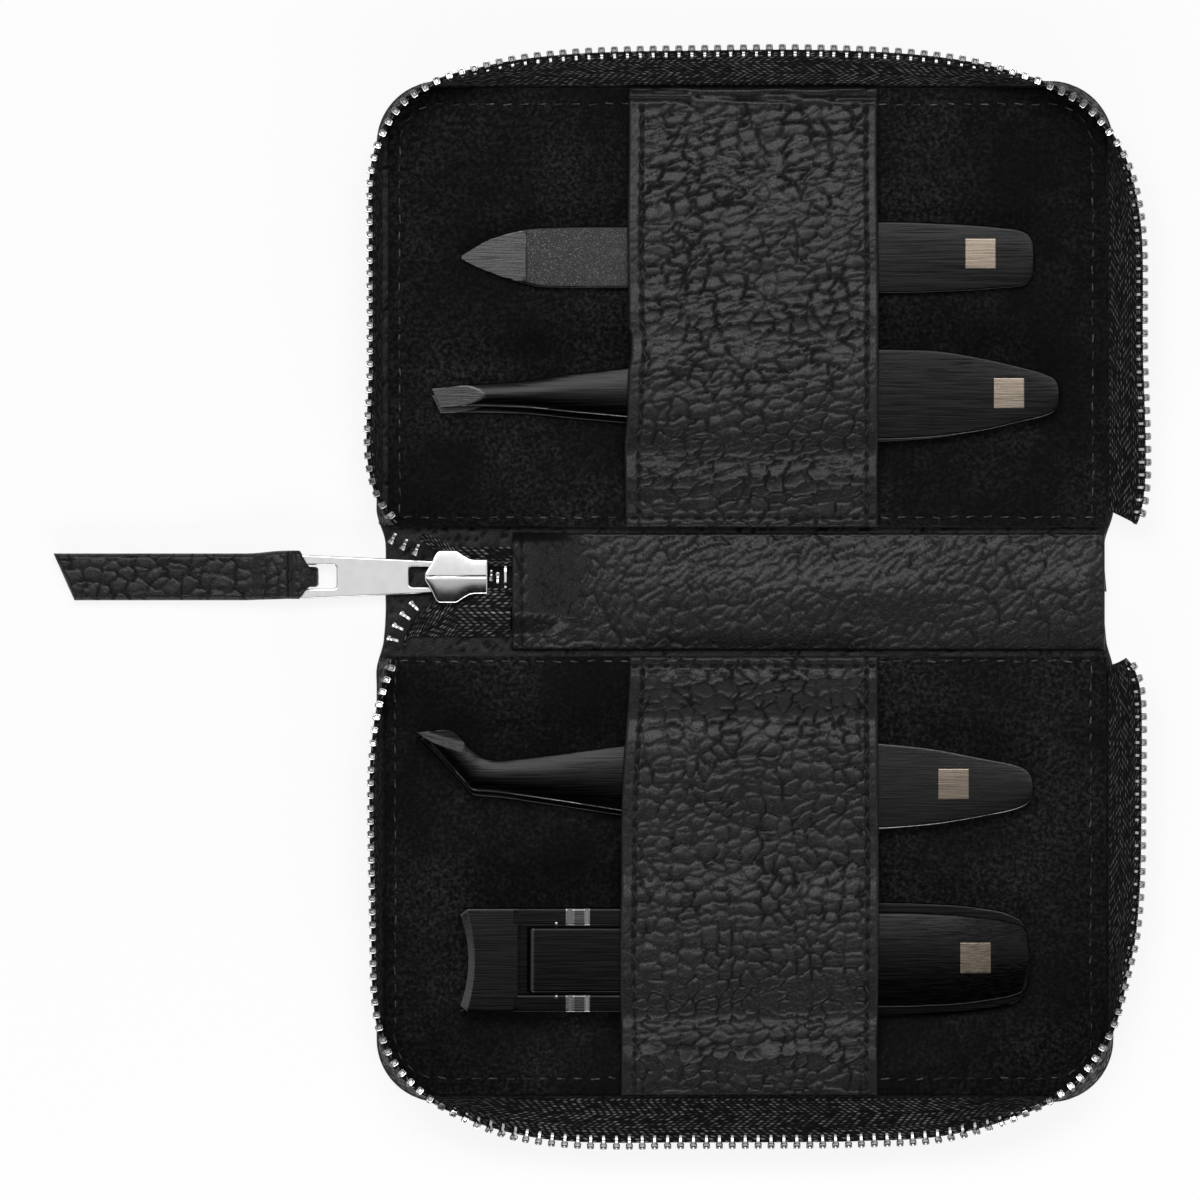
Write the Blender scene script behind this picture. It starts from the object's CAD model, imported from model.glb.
# %% [markdown]
# # A zipped case with four manicure tools, lying open
# The case is two leather panels joined by a spine. A metal zip runs round three sides of both panels, its
# slider sits at the spine's left end, and one pebbled leather band in each half holds two tools.
#
# The moving frame is made already: it holds each piece's place, its joints and its size. This script only
# dresses it, so it loads the frame first and asks it where things are. Lengths here are in millimetres,
# because that is how a case maker thinks, and one helper turns them into Blender's metres.

# %% Load the frame
import math

import bmesh
import bpy
import numpy as np
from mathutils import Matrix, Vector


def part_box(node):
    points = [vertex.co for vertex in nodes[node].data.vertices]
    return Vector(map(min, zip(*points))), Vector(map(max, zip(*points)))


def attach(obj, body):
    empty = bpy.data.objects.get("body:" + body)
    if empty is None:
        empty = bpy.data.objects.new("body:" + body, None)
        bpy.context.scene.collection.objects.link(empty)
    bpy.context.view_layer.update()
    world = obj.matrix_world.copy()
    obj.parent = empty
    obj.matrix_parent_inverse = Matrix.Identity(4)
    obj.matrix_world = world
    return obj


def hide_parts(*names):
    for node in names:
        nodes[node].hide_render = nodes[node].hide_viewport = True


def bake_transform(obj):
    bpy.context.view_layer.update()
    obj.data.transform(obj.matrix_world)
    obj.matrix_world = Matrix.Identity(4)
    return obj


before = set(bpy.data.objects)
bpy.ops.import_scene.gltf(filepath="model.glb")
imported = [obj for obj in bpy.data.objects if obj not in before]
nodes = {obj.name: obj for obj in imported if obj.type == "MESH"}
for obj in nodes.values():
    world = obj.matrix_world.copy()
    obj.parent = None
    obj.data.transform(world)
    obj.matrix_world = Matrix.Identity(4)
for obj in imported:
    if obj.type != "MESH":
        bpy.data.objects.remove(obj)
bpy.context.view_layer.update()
MM = 0.001


def box_mm(node):
    """Lowest and highest corner of a node of the frame, in millimetres."""
    low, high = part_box(node)
    return np.array(low) / MM, np.array(high) / MM


# %% [markdown]
# # Camera and light
# The photograph looks straight down with almost no perspective, which a long lens from far away gives.
# A black object is drawn by its reflections, so the lamps matter more than the colours. One soft lamp
# stands behind the lid, a little off the vertical: what leans slightly to the back shines. A long low lamp
# stands in front: what falls away steeply to the front catches it. Between the two hangs a dark card, as
# photographers of black goods use, so that what leans a little to the front mirrors the card and stays
# black. The room is white for the camera, for metal and for glass, and dimmer for everything else.

# %% Camera, lamps, floor and room
VIEW_WIDTH = 171.4
VIEW_CENTRE = (-20.7, -1.2)
CAMERA_HEIGHT = 1500.0
SENSOR = 36.0
LAMPS = {
    "back_softbox": {"place": (-40.0, 310.0, 800.0), "size": (620.0, 340.0), "watts": 4.6},
    "front_strip": {"place": (40.0, -490.0, 250.0), "size": (760.0, 140.0), "watts": 2.0},
}
CARD_X, CARD_Y, CARD_Z = (-700.0, 700.0), (-800.0, -105.0), 900.0
ROOM_AMBIENT = 0.12
FLOOR_SHADE_SHARE = 0.14
FLOOR_REACH = 4000.0


def node(tree, kind, inputs=None, **settings):
    """Add a shader node, set its options, and plug or set its inputs."""
    made = tree.nodes.new(kind)
    for key, value in settings.items():
        setattr(made, key, value)
    for key, value in (inputs or {}).items():
        if isinstance(value, bpy.types.NodeSocket):
            tree.links.new(value, made.inputs[key])
        else:
            made.inputs[key].default_value = value
    return made


def maths(tree, operation, first, second=0.0, third=0.0):
    """The result of one Math node."""
    return node(tree, "ShaderNodeMath", {0: first, 1: second, 2: third}, operation=operation).outputs[0]


def seen_as_white(tree):
    """1 for rays that should see the white background: from the camera, or off metal and glass."""
    path = node(tree, "ShaderNodeLightPath")
    seen = maths(tree, "MAXIMUM", path.outputs["Is Camera Ray"], path.outputs["Is Glossy Ray"])
    return maths(tree, "MAXIMUM", seen, path.outputs["Is Transmission Ray"])


def make_lamp(name, place, size, watts):
    """A rectangular lamp that faces the middle of the case."""
    lamp = bpy.data.lights.new(name, "AREA")
    lamp.shape = "RECTANGLE"
    lamp.size, lamp.size_y = size[0] * MM, size[1] * MM
    lamp.energy = watts
    obj = bpy.data.objects.new(name, lamp)
    bpy.context.scene.collection.objects.link(obj)
    obj.location = np.array(place) * MM
    obj.rotation_euler = obj.location.to_track_quat("Z", "Y").to_euler()
    obj.visible_camera = False
    return obj


def make_camera():
    """A camera that looks straight down, with the lens that fills the photograph's width."""
    data = bpy.data.cameras.new("camera")
    data.sensor_width = SENSOR
    data.lens = SENSOR * CAMERA_HEIGHT / VIEW_WIDTH
    obj = bpy.data.objects.new("camera", data)
    bpy.context.scene.collection.objects.link(obj)
    obj.location = (VIEW_CENTRE[0] * MM, VIEW_CENTRE[1] * MM, CAMERA_HEIGHT * MM)
    bpy.context.scene.camera = obj
    return obj


def make_room():
    """White where a camera or a mirror looks, and a dim even light elsewhere."""
    world = bpy.data.worlds.new("room")
    bpy.context.scene.world = world
    world.use_nodes = True
    tree = world.node_tree
    back = tree.nodes["Background"]
    back.inputs["Color"].default_value = (1.0, 1.0, 1.0, 1.0)
    seen = seen_as_white(tree)
    strength = node(tree, "ShaderNodeMix", {0: seen, 2: ROOM_AMBIENT, 3: 1.0}).outputs[0]
    tree.links.new(strength, back.inputs["Strength"])


def stage_plane(name, x_range, y_range, z):
    """A flat rectangle that belongs to the studio, with a material of its own."""
    (x0, x1), (y0, y1) = x_range, y_range
    mesh = bpy.data.meshes.new(name)
    corners = [(x0 * MM, y0 * MM, 0.0), (x1 * MM, y0 * MM, 0.0), (x1 * MM, y1 * MM, 0.0),
               (x0 * MM, y1 * MM, 0.0)]
    mesh.from_pydata(corners, [], [(0, 1, 2, 3)])
    obj = bpy.data.objects.new(name, mesh)
    bpy.context.scene.collection.objects.link(obj)
    obj.location = (0.0, 0.0, z * MM)
    mat = bpy.data.materials.new(name + "_paper")
    mat.use_nodes = True
    shader = mat.node_tree.nodes["Principled BSDF"]
    shader.inputs["Roughness"].default_value = 0.9
    shader.inputs["Specular IOR Level"].default_value = 0.0
    mesh.materials.append(mat)
    return obj, mat.node_tree, shader


def make_floor():
    """A pale floor that takes a faint shadow: part of its white is lit, the rest is its own."""
    _, tree, shader = stage_plane("floor", (-FLOOR_REACH, FLOOR_REACH), (-FLOOR_REACH, FLOOR_REACH), -0.1)
    shader.inputs["Base Color"].default_value = (0.8, 0.8, 0.8, 1.0)
    glow = node(tree, "ShaderNodeEmission", {"Color": (1.0, 1.0, 1.0, 1.0), "Strength": 1.0})
    lit = node(tree, "ShaderNodeBsdfDiffuse", {"Color": (1.0, 1.0, 1.0, 1.0)})
    shown = node(tree, "ShaderNodeMixShader", {0: FLOOR_SHADE_SHARE, 1: glow.outputs[0], 2: lit.outputs[0]})
    mixed = node(tree, "ShaderNodeMixShader", {0: seen_as_white(tree), 1: shader.outputs[0],
                                               2: shown.outputs[0]})
    tree.links.new(mixed.outputs[0], tree.nodes["Material Output"].inputs["Surface"])


def make_card():
    """The dark card. Only mirrored rays meet it, so it neither shows nor shades anything."""
    card, _, shader = stage_plane("dark_card", CARD_X, CARD_Y, CARD_Z)
    shader.inputs["Base Color"].default_value = (0.0, 0.0, 0.0, 1.0)
    card.visible_camera = False
    card.visible_diffuse = False
    card.visible_transmission = False
    card.visible_shadow = False


make_camera()
make_room()
make_floor()
make_card()
for lamp_name, lamp_sizes in LAMPS.items():
    make_lamp(lamp_name, **lamp_sizes)
bpy.context.scene.view_settings.view_transform = "Standard"
print("camera and", len(LAMPS), "lamps")

# %% [markdown]
# # Surfaces from arrays
# Each piece below is worked out with numpy. Most are lofts: a row of closed rings, each with the same
# number of points, joined by four-sided faces and closed at both ends. A sheet of leather is a loft too:
# its ring runs across the top and back across the underside. The volume's sign tells whether the faces
# point out, so no mesh is ever inside out.

# %% Helpers for lofts
def solid(points, faces):
    """Points and faces of a closed body, with the faces turned round if its volume comes out negative.
    The volume is the sum over faces of a . (b x c) / 6 for each triangle of their fan."""
    corner = points[faces]
    volume = sum(np.einsum("ij,ij->i", corner[:, 0], np.cross(corner[:, k], corner[:, k + 1])).sum()
                 for k in range(1, faces.shape[1] - 1))
    return points, faces if volume > 0 else faces[:, ::-1]


def loft(rings, closed=False):
    """A closed body over rings of shape (rows, count, 3), count even. Point j of row i is joined to its
    neighbours j + 1 and i + 1. The two end rings are filled with faces across, or, if closed is true, the
    last ring joins the first."""
    rings = np.asarray(rings, dtype=float)
    rows, count = rings.shape[:2]
    number = np.arange(rows * count).reshape(rows, count)
    if closed:
        number = np.concatenate([number, number[:1]])
    ahead = np.roll(number, -1, axis=1)
    sides = np.stack([number[:-1], ahead[:-1], ahead[1:], number[1:]], axis=-1).reshape(-1, 4)
    if closed:
        return solid(rings.reshape(-1, 3), sides)
    k = np.arange(count // 2 - 1)
    start = np.stack([k, count - 1 - k, count - 2 - k, k + 1], axis=-1)
    end = start[:, ::-1] + (rows - 1) * count
    return solid(rings.reshape(-1, 3), np.concatenate([sides, start, end]))


def sheet_rings(top, under):
    """Rings of a sheet: across the top of each row, and back across its underside."""
    return np.concatenate([top, under[:, ::-1]], axis=1)


def joined(bodies):
    """Several closed bodies as one list of points and one of faces."""
    bodies = list(bodies)
    first = np.cumsum([0] + [len(points) for points, _ in bodies[:-1]])
    return (np.concatenate([points for points, _ in bodies]),
            np.concatenate([faces + start for (_, faces), start in zip(bodies, first)]))


def piece(name, body, material, sharp=30.0):
    """A mesh object from points in millimetres and four-sided faces, with smooth shading and edges kept
    sharp where faces turn by more than an angle in degrees."""
    points, faces = body
    mesh = bpy.data.meshes.new(name)
    mesh.vertices.add(len(points))
    mesh.vertices.foreach_set("co", (np.asarray(points) * MM).astype(np.float32).ravel())
    mesh.loops.add(faces.size)
    mesh.loops.foreach_set("vertex_index", np.ascontiguousarray(faces, dtype=np.int32).ravel())
    mesh.polygons.add(len(faces))
    mesh.polygons.foreach_set("loop_start", np.arange(len(faces), dtype=np.int32) * faces.shape[1])
    mesh.update(calc_edges=True)
    mesh.materials.append(material)
    mesh.shade_smooth()
    if sharp is not None:
        mesh.set_sharp_from_angle(angle=math.radians(sharp))
    obj = bpy.data.objects.new(name, mesh)
    bpy.context.scene.collection.objects.link(obj)
    print(name, len(points), "points", len(faces), "faces")
    return obj


def mark(obj, name, values):
    """Store one number for each point of a mesh, for its material to read."""
    attribute = obj.data.attributes.new(name, "FLOAT", "POINT")
    attribute.data.foreach_set("value", np.asarray(values, dtype=np.float32).ravel())


def lay_uv(obj, along, across):
    """A UV map from two numbers for each point, both in millimetres."""
    layer = obj.data.uv_layers.new(name="cloth")
    index = np.zeros(len(obj.data.loops), dtype=np.int32)
    obj.data.loops.foreach_get("vertex_index", index)
    layer.data.foreach_set("uv", np.stack([along[index], across[index]], axis=1).astype(np.float32).ravel())


# %% Helpers for curves and steps
def smooth(value):
    """0 below 0, 1 above 1, and 3t^2 - 2t^3 between."""
    t = np.clip(value, 0.0, 1.0)
    return t * t * (3 - 2 * t)


def through(places, values, at):
    """A curve through known values that never overshoots: cubic pieces whose slope at each known place is
    the harmonic mean of the slopes beside it, or zero at a peak or a dip."""
    places, values, at = (np.asarray(x, dtype=float) for x in (places, values, at))
    step = np.diff(places)
    slope = np.diff(values) / step
    product = slope[:-1] * slope[1:]
    total = np.where(product > 0, slope[:-1] + slope[1:], 1.0)
    tangent = np.concatenate([slope[:1], np.where(product > 0, 2 * product / total, 0.0), slope[-1:]])
    k = np.clip(np.searchsorted(places, at, side="right") - 1, 0, len(step) - 1)
    t = np.clip((at - places[k]) / step[k], 0.0, 1.0)
    rise = values[k + 1] - values[k]
    return (values[k] + t * step[k] * tangent[k] * (1 - t) ** 2 + rise * t * t * (3 - 2 * t)
            - t * t * (1 - t) * step[k] * tangent[k + 1])


def rim_places(length, step, rim):
    """Places from 0 to a length: a few close ones inside each rim, and even steps between."""
    edge = rim * np.array([0.0, 0.06, 0.25, 0.6])
    inner = np.linspace(rim, length - rim, max(int(round((length - 2 * rim) / step)), 1) + 1)
    return np.concatenate([edge, inner, length - edge[::-1]])


def round_over(distance, rim):
    """Share of the full thickness at a distance from the edge: a quarter circle, never quite zero."""
    t = np.clip(distance / rim, 0.0, 1.0)
    return np.maximum(np.sqrt(np.maximum(1 - (1 - t) ** 2, 0.0)), 0.16)


def unit(rows):
    """Each row scaled to length one."""
    return rows / np.maximum(np.linalg.norm(rows, axis=-1, keepdims=True), 1e-9)


def grid_normals(grid):
    """The direction square to a grid of places: the cross product of its two slopes."""
    return unit(np.cross(np.gradient(grid, axis=1), np.gradient(grid, axis=0)))


# %% Helpers for uneven surfaces
MIX_A, MIX_B, MIX_C, WORD = 374761393, 668265263, 1274126177, 0xFFFFFFFF


def scatter(column, row, seed):
    """A repeatable number from 0 to 1 for each whole-number place, from mixed products of the two."""
    mixed = (column * MIX_A + row * MIX_B + seed * MIX_C) & WORD
    mixed = ((mixed ^ (mixed >> 13)) * MIX_C) & WORD
    return ((mixed ^ (mixed >> 16)) & 0xFFFF) / 0xFFFF


def clouds(u, v, seed):
    """Smooth noise from 0 to 1: scattered numbers on unit squares, blended with smooth steps."""
    iu, iv = np.floor(u).astype(np.int64), np.floor(v).astype(np.int64)
    fu, fv = smooth(u - iu), smooth(v - iv)
    low = scatter(iu, iv, seed) * (1 - fu) + scatter(iu + 1, iv, seed) * fu
    high = scatter(iu, iv + 1, seed) * (1 - fu) + scatter(iu + 1, iv + 1, seed) * fu
    return low * (1 - fv) + high * fv


def cells(u, v, seed):
    """Cells round one scattered point in each unit square. Gives the distance to the nearest point, how
    much further the second nearest is, which is zero on a border, and a number of the cell's own."""
    iu, iv = np.floor(u).astype(np.int64), np.floor(v).astype(np.int64)
    first, second, own = np.full(u.shape, 9.0), np.full(u.shape, 9.0), np.zeros(u.shape)
    for du in (-1, 0, 1):
        for dv in (-1, 0, 1):
            cu, cv = iu + du, iv + dv
            distance = np.hypot(cu + 0.1 + 0.8 * scatter(cu, cv, seed) - u,
                                cv + 0.1 + 0.8 * scatter(cu, cv, seed + 1) - v)
            nearer = distance < first
            second = np.where(nearer, first, np.minimum(second, distance))
            own = np.where(nearer, scatter(cu, cv, seed + 2), own)
            first = np.where(nearer, distance, first)
    return first, second - first, own


def dome(gap, width):
    """A rounded rise from a border: 1 - (1 - t)^2."""
    return 1 - (1 - np.minimum(gap / width, 1.0)) ** 2


def pebbles(u, v, size, seed, slant=0.0, folds=0.5):
    """Pebbled leather: its height, and how much of a crease each place is, both from 0 to 1. Rounded
    cells lie between narrow creases of uneven depth. Their borders are warped by clouds, smaller cells
    lie on them, and long thin folds cross them at a slant."""
    wide_u, wide_v = (clouds(u / 5.0, v / 5.0, seed + k) - 0.5 for k in (0, 1))
    close_u, close_v = (clouds(u / 0.8, v / 0.8, seed + k) - 0.5 for k in (20, 21))
    warp_u, warp_v = wide_u * 2.4 + close_u * 0.6, wide_v * 1.8 + close_v * 0.5
    cu, cv = (u + warp_u) / size[0], (v + warp_v - slant * u) / size[1]
    near, gap, own = cells(cu, cv, seed + 2)
    small_near, _, small_own = cells(cu * 2.6, cv * 2.6, seed + 6)
    uneven = 0.30 + 0.70 * smooth((clouds(u / 2.5, v / 2.5, seed + 14) - 0.25) / 0.4)
    line = cells((u + warp_v) / 9.0, (v + warp_u / 2 - 2.0 * slant * u) / 3.0, seed + 10)[1]
    crease = np.maximum((1 - smooth(gap / 0.15)) * uneven, folds * (1 - smooth(line / 0.09)))
    body = 0.55 * (1 - np.minimum(near / 0.8, 1.0) ** 2) + 0.45 * dome(gap, 0.42)
    small = (1 - np.minimum(small_near / 0.8, 1.0) ** 2) * small_own
    height = 0.26 + (0.42 + 0.14 * own) * body + 0.16 * small - 0.36 * crease
    return np.clip(height, 0.0, 1.0), crease


def wrinkles(u, v, seed, turn=0.72):
    """Softly wrinkled leather, as height and crease: long narrow folds at a slant, which are stretched
    cells, and small pebbles on them."""
    bend_by = (clouds(u / 9.0, v / 9.0, seed) - 0.5) * 3.0 + (clouds(u / 1.6, v / 1.6, seed + 9) - 0.5) * 0.9
    along = u * math.cos(turn) + v * math.sin(turn)
    across = v * math.cos(turn) - u * math.sin(turn) + bend_by
    _, fold, fold_own = cells(along / 4.2, across / 1.45, seed + 1)
    near, gap, own = cells(along / 1.5, across / 0.85, seed + 3)
    fine_near, _, fine_own = cells(along / 0.75, across / 0.5, seed + 5)
    crease = np.maximum(0.85 * (1 - smooth(fold / 0.16)) * fold_own, 0.65 * (1 - smooth(gap / 0.16)) * own)
    height = (0.10 + 0.34 * dome(fold, 0.5) + 0.30 * (1 - np.minimum(near, 1.0) ** 2)
              + 0.12 * (1 - np.minimum(fine_near, 1.0) ** 2) * fine_own)
    return np.clip(height - 0.22 * crease, 0.0, 1.0), crease


print("helpers ready")

# %% [markdown]
# # Finishes
# Effects that more than one finish uses are node groups with named inputs and outputs: the fine grain of
# leather, the streaks of brushed steel, the fuzz of suede and the weave of the zip's tape. They give out
# only masks and heights, and each material keeps its own Principled shader.

# %% Node groups
def new_group(name, inputs, outputs):
    """An empty node group with number sockets, or vector ones where the name is Vector."""
    tree = bpy.data.node_groups.new(name, "ShaderNodeTree")
    for label, value in inputs.items():
        kind = "NodeSocketVector" if label == "Vector" else "NodeSocketFloat"
        socket = tree.interface.new_socket(label, in_out="INPUT", socket_type=kind)
        if label != "Vector":
            socket.default_value = value
    for label in outputs:
        tree.interface.new_socket(label, in_out="OUTPUT", socket_type="NodeSocketFloat")
    return tree, tree.nodes.new("NodeGroupInput").outputs, tree.nodes.new("NodeGroupOutput").inputs


def stretch(tree, value, low, high):
    """Spread the part of a mask between two values to 0 and 1."""
    return node(tree, "ShaderNodeMapRange", {"Value": value, "From Min": low, "From Max": high},
                interpolation_type="SMOOTHSTEP").outputs["Result"]


def fine_grain_group():
    """Pores and tiny pebbles: small cells whose borders sink, over soft noise."""
    tree, given, out = new_group("fine_grain", {"Vector": None, "Pore Size": 0.0005}, ["Height", "Mottle"])
    scale = maths(tree, "DIVIDE", 1.0, given["Pore Size"])
    pores = node(tree, "ShaderNodeTexVoronoi", {"Vector": given["Vector"], "Scale": scale},
                 feature="DISTANCE_TO_EDGE")
    sunk = stretch(tree, pores.outputs["Distance"], 0.0, 0.16)
    fine = maths(tree, "MULTIPLY", scale, 2.2)
    noise = node(tree, "ShaderNodeTexNoise", {"Vector": given["Vector"], "Scale": fine, "Detail": 3.0})
    height = maths(tree, "MULTIPLY_ADD", noise.outputs["Fac"], 0.9, sunk)
    wide = node(tree, "ShaderNodeTexNoise", {"Vector": given["Vector"], "Scale": 160.0, "Detail": 4.0})
    tree.links.new(height, out["Height"])
    tree.links.new(wide.outputs["Fac"], out["Mottle"])
    return tree


def brushed_group():
    """Streaks along X: noise that is drawn out along one axis."""
    tree, given, out = new_group("brushed_lines", {"Vector": None, "Fineness": 9000.0}, ["Streak"])
    parts = node(tree, "ShaderNodeSeparateXYZ", {0: given["Vector"]})
    along = maths(tree, "MULTIPLY", parts.outputs[0], 120.0)
    across = maths(tree, "MULTIPLY", parts.outputs[1], given["Fineness"])
    up = maths(tree, "MULTIPLY", parts.outputs[2], given["Fineness"])
    place = node(tree, "ShaderNodeCombineXYZ", {0: along, 1: across, 2: up})
    noise = node(tree, "ShaderNodeTexNoise", {"Vector": place.outputs[0], "Scale": 1.0, "Detail": 3.0,
                                              "Roughness": 0.6})
    tree.links.new(noise.outputs["Fac"], out["Streak"])
    return tree


def nap_group():
    """Suede: fine fuzz whose lighter fibres stand out where the nap has been brushed up."""
    tree, given, out = new_group("suede_nap", {"Vector": None}, ["Fuzz", "Light"])
    fuzz = node(tree, "ShaderNodeTexNoise", {"Vector": given["Vector"], "Scale": 1700.0, "Detail": 6.0,
                                             "Roughness": 0.75})
    patch = node(tree, "ShaderNodeTexNoise", {"Vector": given["Vector"], "Scale": 60.0, "Detail": 5.0,
                                              "Roughness": 0.6})
    fibres = stretch(tree, fuzz.outputs["Fac"], 0.40, 0.74)
    brushed = stretch(tree, patch.outputs["Fac"], 0.34, 0.72)
    light = maths(tree, "MULTIPLY", fibres, maths(tree, "MULTIPLY_ADD", brushed, 0.85, 0.15))
    tree.links.new(fuzz.outputs["Fac"], out["Fuzz"])
    tree.links.new(light, out["Light"])
    return tree


def weave_group():
    """A herringbone tape. Rows run along it, and in each row short threads rise at an even step. From row
    to row they are shifted one way and then the other: the shift follows a zigzag of the place across."""
    tree, given, out = new_group("herringbone", {"Vector": None, "Row": 0.42, "Turn": 2.4, "Thread": 1.05},
                                 ["Thread Height", "Glint"])
    parts = node(tree, "ShaderNodeSeparateXYZ", {0: given["Vector"]})
    along, across = parts.outputs[0], parts.outputs[1]
    zigzag = maths(tree, "PINGPONG", across, given["Turn"])
    turn = maths(tree, "DIVIDE", maths(tree, "MULTIPLY_ADD", zigzag, 1.2, along), given["Thread"])
    row = maths(tree, "DIVIDE", across, given["Row"])
    thread = stretch(tree, maths(tree, "PINGPONG", turn, 0.5), 0.12, 0.34)
    ridge = stretch(tree, maths(tree, "PINGPONG", row, 0.5), 0.06, 0.34)
    height = maths(tree, "MULTIPLY", thread, ridge)
    place = node(tree, "ShaderNodeCombineXYZ", {0: maths(tree, "FLOOR", turn), 1: maths(tree, "FLOOR", row)})
    chance = node(tree, "ShaderNodeTexWhiteNoise", {"Vector": place.outputs[0]}, noise_dimensions="2D")
    bright = maths(tree, "POWER", chance.outputs["Value"], 1.5)
    tree.links.new(height, out["Thread Height"])
    tree.links.new(maths(tree, "MULTIPLY", height, bright), out["Glint"])
    return tree


GROUPS = {"grain": fine_grain_group(), "brushed": brushed_group(), "nap": nap_group(),
          "weave": weave_group()}


def effect(tree, group, inputs):
    """Place one of the groups in a material, with its own values."""
    made = node(tree, "ShaderNodeGroup", node_tree=GROUPS[group])
    for key, value in inputs.items():
        if isinstance(value, bpy.types.NodeSocket):
            tree.links.new(value, made.inputs[key])
        else:
            made.inputs[key].default_value = value
    return made.outputs


def finish(name, **constants):
    """A new material. Constants are set on the Principled shader's own sockets, with _ for a space."""
    mat = bpy.data.materials.new(name)
    mat.use_nodes = True
    shader = mat.node_tree.nodes["Principled BSDF"]
    for key, value in constants.items():
        shader.inputs[key.replace("_", " ")].default_value = value
    return mat, mat.node_tree, shader


def object_place(tree):
    """Object coordinates: a point's own place in metres."""
    return node(tree, "ShaderNodeTexCoord").outputs["Object"]


def shades(tree, mask, first, second):
    """A colour between two, by a mask. Each is a grey value, three values, or a colour socket."""
    mixed = node(tree, "ShaderNodeMix", data_type="RGBA", clamp_factor=True)
    tree.links.new(mask, mixed.inputs[0])
    for socket, value in ((mixed.inputs[6], first), (mixed.inputs[7], second)):
        if isinstance(value, bpy.types.NodeSocket):
            tree.links.new(value, socket)
        else:
            colour = value if isinstance(value, tuple) else (value,) * 3
            socket.default_value = (*colour, 1.0)
    return mixed.outputs[2]


def number(tree, mask, low, high):
    """A number between two, by a mask."""
    return node(tree, "ShaderNodeMapRange", {"Value": mask, "To Min": low, "To Max": high}).outputs["Result"]


def stored(tree, name):
    """A number that the mesh stores at each of its points."""
    return node(tree, "ShaderNodeAttribute", attribute_name=name).outputs["Fac"]


def bump(tree, shader, height, distance, strength=1.0):
    """Feed a height into the shader's normal. The distance is in metres."""
    made = node(tree, "ShaderNodeBump", {"Height": height, "Distance": distance, "Strength": strength})
    tree.links.new(made.outputs["Normal"], shader.inputs["Normal"])


# %% Leather, suede, tape and thread
def leather_finish(name, crease, top, gloss):
    """Black leather that reads its own relief: pebbles are a little lighter, and polished by use, while
    creases are darker and dull. A fine grain lies over both. The polish is the shader's coat."""
    mat, tree, shader = finish(name, Specular_IOR_Level=0.10, Coat_IOR=1.34, Coat_Roughness=0.25)
    grain = effect(tree, "grain", {"Vector": object_place(tree), "Pore Size": 0.00042})
    relief = stored(tree, "relief")
    mask = maths(tree, "MULTIPLY", relief, number(tree, grain["Mottle"], 0.7, 1.2))
    tree.links.new(shades(tree, mask, crease, top), shader.inputs["Base Color"])
    tree.links.new(number(tree, mask, 0.60, gloss), shader.inputs["Roughness"])
    tree.links.new(number(tree, stretch(tree, mask, 0.20, 0.95), 0.0, 0.32), shader.inputs["Coat Weight"])
    height = maths(tree, "MULTIPLY_ADD", grain["Height"], 0.34, relief)
    bump(tree, shader, height, 0.00012)
    return mat


def suede_finish():
    """Nearly black suede. Fuzz breaks up the light, and a few fibres catch it."""
    mat, tree, shader = finish("black_suede_finish", Roughness=1.0, Specular_IOR_Level=0.04,
                               Sheen_Weight=0.03, Sheen_Roughness=0.6)
    nap = effect(tree, "nap", {"Vector": object_place(tree)})
    tree.links.new(shades(tree, nap["Light"], 0.0032, 0.045), shader.inputs["Base Color"])
    bump(tree, shader, nap["Fuzz"], 0.0004, 0.8)
    return mat


def tape_finish():
    """Black woven tape. Its threads mirror the light in short dashes, as polyester does: the shader's
    coat lies on the threads alone."""
    mat, tree, shader = finish("black_tape_finish", Specular_IOR_Level=0.10, Coat_Roughness=0.35)
    uv = node(tree, "ShaderNodeUVMap", uv_map="cloth").outputs["UV"]
    weave = effect(tree, "weave", {"Vector": uv})
    tree.links.new(shades(tree, weave["Glint"], 0.0050, 0.160), shader.inputs["Base Color"])
    tree.links.new(number(tree, weave["Glint"], 0.95, 0.40), shader.inputs["Roughness"])
    tree.links.new(number(tree, weave["Glint"], 0.0, 0.9), shader.inputs["Coat Weight"])
    bump(tree, shader, weave["Thread Height"], 0.00030)
    return mat


def thread_finish(name, dark, light):
    """Sewing thread: some stitches have caught more light and dust than others."""
    mat, tree, shader = finish(name, Roughness=0.6, Specular_IOR_Level=0.3)
    twist = node(tree, "ShaderNodeTexNoise", {"Vector": object_place(tree), "Scale": 900.0, "Detail": 4.0})
    tree.links.new(shades(tree, stretch(tree, twist.outputs["Fac"], 0.42, 0.66), dark, light),
                   shader.inputs["Base Color"])
    return mat


def board_finish():
    """Grey stiffening board with short fibres."""
    mat, tree, shader = finish("grey_board_finish", Roughness=0.95, Specular_IOR_Level=0.1)
    fibre = node(tree, "ShaderNodeTexNoise", {"Vector": object_place(tree), "Scale": 2400.0, "Detail": 5.0})
    tree.links.new(shades(tree, fibre.outputs["Fac"], (0.10, 0.095, 0.09), (0.24, 0.23, 0.22)),
                   shader.inputs["Base Color"])
    bump(tree, shader, fibre.outputs["Fac"], 0.0001, 0.4)
    return mat


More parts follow.
